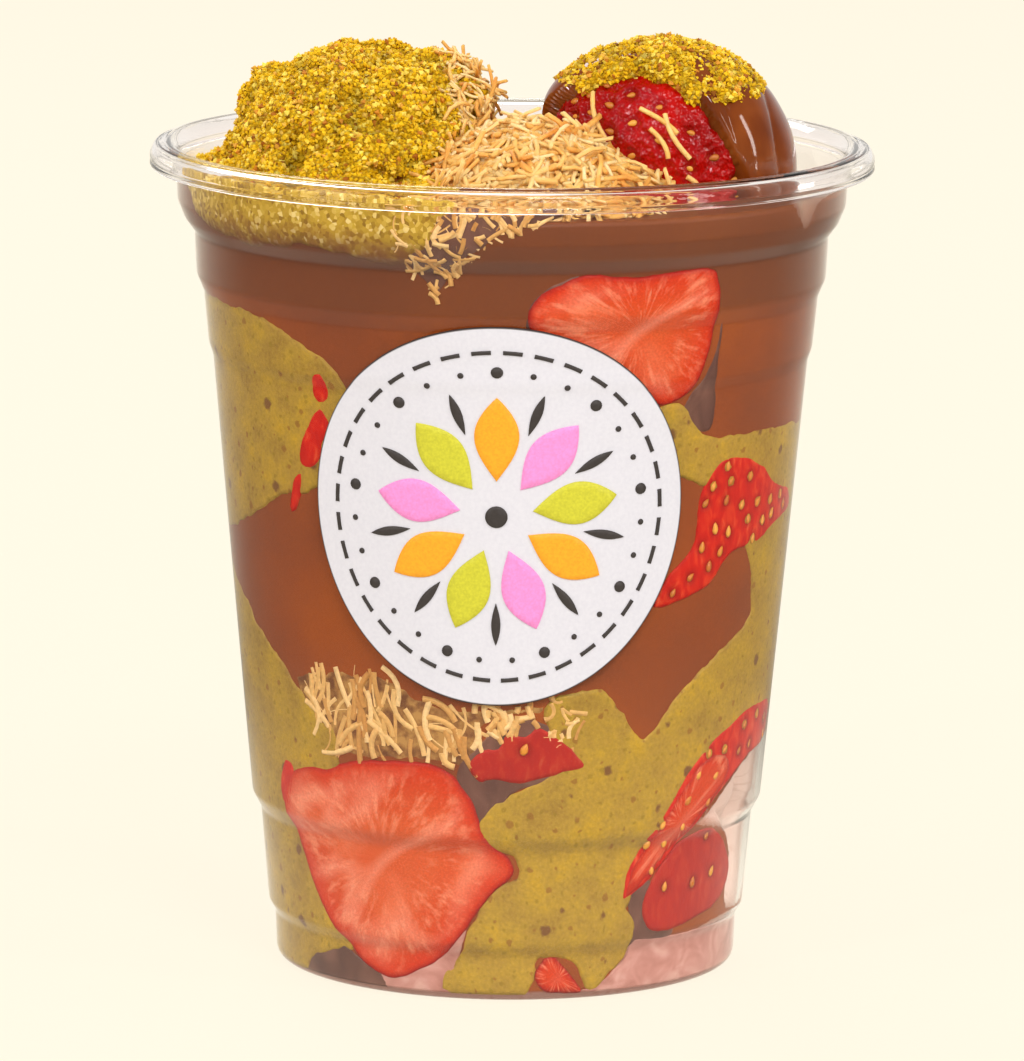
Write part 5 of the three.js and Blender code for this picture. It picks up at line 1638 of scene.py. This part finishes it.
def berry_skin_rings(grow, along_count, around_count):
    """Rings of the berry's turned shape, `grow` mm outside its skin. Returns places and directions."""
    centre, tilt = np.array(TOP_BERRY["centre"]), math.radians(TOP_BERRY["tilt"])
    bearing = 2 * math.pi * np.arange(around_count) / around_count
    rings = []
    for t in 0.5 - 0.5 * np.cos(math.pi * np.linspace(0, 1, along_count)):
        shape = math.sin(math.pi * (1 - t) ** 0.92) ** 0.54 if 0 < t < 1 else 0.0
        radius = (TOP_BERRY["radius"] + grow) * shape
        x = np.full(around_count, (t - 0.5) * (TOP_BERRY["length"] + 2 * grow))
        y, z = 0.96 * radius * np.cos(bearing), 1.04 * radius * np.sin(bearing)
        tilted = np.column_stack([
            x * math.cos(tilt) + z * math.sin(tilt), y, -x * math.sin(tilt) + z * math.cos(tilt)])
        rings.append((centre + tilted) if shape > 1e-6 else (centre + tilted)[:1])
    return rings


def berry_shell(lift_at, along_count=170, around_count=180):
    """A closed skin over the berry, each point lifted by lift_at(points)."""
    low, faces = stitched(berry_skin_rings(0.0, along_count, around_count))
    high, _ = stitched(berry_skin_rings(1.0, along_count, around_count))
    return low + (high - low) * lift_at(low)[:, None], faces


def window_share(points):
    """1 well inside the window, 0 outside, with a soft edge a millimetre wide."""
    loop = smooth_loop(WINDOW, 0.5)
    flat_points = points[:, [0, 2]]
    edge = rim_distance(flat_points, loop)
    signed = np.where(inside_loop(flat_points, loop), edge, -edge)
    share = np.clip(0.5 + signed / 1.3, 0, 1)
    return np.where(points[:, 1] < TOP_BERRY["centre"][1] - 1, share, 0)


# %% Red skin and its seeds
def berry_bumps(points):
    return 0.35 * wobble(points, 7.0, 21) + 0.12 * wobble(points, 2.4, 22)


SEED_COUNT, SEAT_RINGS, SEAT_STEPS = 230, 60, 90
seat_points, seat_normals = [], []
middle = np.array(TOP_BERRY["centre"])
rings = berry_skin_rings(0.0, SEAT_RINGS, SEAT_STEPS)
for i in range(SEED_COUNT):  # one seed after another along a spiral from tip to calyx
    ring_points = rings[1 + round((i + 0.5) / SEED_COUNT * (SEAT_RINGS - 3))]
    at = ring_points[int(i * GOLDEN_TURN / (2 * math.pi) * SEAT_STEPS) % SEAT_STEPS]
    seat_points.append(at)
    seat_normals.append(at - (middle + 0.6 * (ring_points.mean(0) - middle)))
seat_points = np.array(seat_points)


def skin_lift(points):
    pits = near_seed(points, seat_points, 1.55)
    return berry_bumps(points) - 0.6 * ease(pits) + 0.1 * wobble(points, 1.1, 23)


points, faces = berry_shell(skin_lift, 230, 210)
# painted shade: the skin is darker near each seed's pit
berry_mesh = mesh_of("dipped_berry", points, faces, {"pit_shade": 0.8 * near_seed(points, seat_points, 1.5)})
place("dipped_berry", berry_mesh, berry_skin, "strawberry", "top_strawberry")
chance = np.random.default_rng(77)
seats = seat_points - 0.4 * np.array([n / np.linalg.norm(n) for n in seat_normals])
cloud = point_cloud("seats", seats, seat_normals, chance.normal(1.4, 0.3, SEED_COUNT),
                    chance.uniform(0.7, 0.95, SEED_COUNT))
seeds = grown("dipped_berry_seeds", cloud, set_tree, Pieces=seed_shapes, Seed=3, Material=husk)
place("dipped_berry_seeds", seeds, husk, "strawberry")

# %% Chocolate coat
# Milk chocolate coating: tempered, smooth and glossy, like lacquer over the berry.
coating, tree = new_material("milk chocolate coating")
coords = add(tree, "ShaderNodeTexCoord").outputs["Object"]
drift = add(tree, "ShaderNodeTexNoise", {"Vector": coords, "Scale": per_mm(6), "Detail": 2.0})
browns = add(tree, "ShaderNodeValToRGB", {"Fac": drift.outputs["Fac"]}, stops=[
    (0.3, "#5E2606"), (0.5, "#70320A"), (0.7, "#824014")])
skin = add(tree, "ShaderNodeBsdfPrincipled", {
    "Base Color": browns.outputs["Color"], "Roughness": 0.07, "Specular IOR Level": 0.4})
add(tree, "ShaderNodeOutputMaterial", {"Surface": skin.outputs[0]})


def coat_lift(points):
    folds = np.abs(np.sin(0.75 * points[:, 0] + 0.22 * points[:, 2] + 1.1 * wobble(points, 9, 31))) ** 0.6
    thick = TOP_BERRY["coat"] + 0.6 * (folds - 0.8) * (points[:, 0] > 22) + 0.15 * wobble(points, 5, 32)
    return thick - (thick + 0.9) * ease(window_share(points))


coat_mesh = mesh_of("chocolate_coating", *berry_shell(coat_lift, 200, 200))
place("chocolate_coating", coat_mesh, coating, "chocolate_coating", "chocolate_coat")

# %% Crumbs on the coat
CAP_DIVE = 1.6


def cap_share(points):
    line_x, line_z = zip(*CRUMB_LINE)
    above = points[:, 2] - np.interp(points[:, 0], line_x, line_z) + 0.6 * wobble(points, 2.2, 41)
    share = np.clip(0.5 + above / 1.2, 0, 1)
    return share * (points[:, 0] < 34.5)


def cap_roughness(points):
    return 0.4 * wobble(points, 1.9, 42) + 0.25 * wobble(points, 0.8, 43)


def cap_lift(points):
    """Under the skin where there are no crumbs, over the coat where there are."""
    thick = TOP_BERRY["coat"] + TOP_BERRY["crumbs"] - 1.1 + cap_roughness(points)
    return -CAP_DIVE + ease(cap_share(points)) * (CAP_DIVE + thick)


points, faces = berry_shell(cap_lift, 230, 220)
# painted shade: grains in the hollows of the rough cap are darker
cap_mesh = mesh_of("berry_crumbs", points, faces, {
    "cover": cap_share(points), "crevice_shade": np.clip(-cap_roughness(points) / 0.4, 0, 1)})
grains = grown("berry_grains", cap_mesh.copy(), scatter_tree, Pieces=crumb_shapes,
               Per_square_metre=3.2e6, Smallest=0.3, Largest=0.85, Tilt=math.pi, Lift=0.0001, Seed=12,
               Material=loose_crumbs)
place("berry_crumbs", cap_mesh, packed_crumbs, "pistachio_crumbs", "top_crumbs")
place("berry_grains", grains, loose_crumbs, "pistachio_crumbs", "top_crumbs")

# %% Shreds that stuck to the wet skin
STUCK_SHREDS = [  # both ends, as x and z on the front
    ((10.7, 120.7), (12.3, 115.1)), ((16.9, 119.2), (21.9, 116.1)), ((20.2, 118.6), (23.6, 112.8)),
    ((18.2, 116.7), (20.7, 112.8)), ((8.6, 113.6), (12.4, 111.6)), ((23.2, 110.4), (24.6, 108.4))]
shell_points, _ = berry_shell(skin_lift, 90, 120)
shell_points = shell_points[shell_points[:, 1] < TOP_BERRY["centre"][1]]
front_finder = nearest_finder(shell_points * (1, 0, 1))
points, edges = [], []
for number, (first, last) in enumerate(STUCK_SHREDS):
    start = len(points)
    for share in np.linspace(0, 1, 7):
        x = first[0] + share * (last[0] - first[0]) + (2.4 if number % 2 else -2.4) * share * (1 - share)
        z = first[1] + share * (last[1] - first[1])
        nearest = shell_points[front_finder.find((x, 0, z))[1]]
        points.append((x, nearest[1] - 0.15, z))
    edges += [(start + k, start + k + 1) for k in range(6)]
stuck = grown("stuck_shreds", line_mesh("stuck_paths", points, edges), strip_tree, Thickness=0.34 * MM,
              Seed=5, Material=shred_gold)
shade_smooth(stuck)
place("stuck_shreds", stuck, shred_gold, "toasted_pastry")

# %% [markdown]
# ## Finish
# The loose shapes that the trees copied are removed.

# %% Remove the loose shapes
for shapes in (seed_shapes, crumb_shapes, shred_shapes):
    for thing in list(shapes.objects):
        bpy.data.objects.remove(thing)
    bpy.data.collections.remove(shapes)
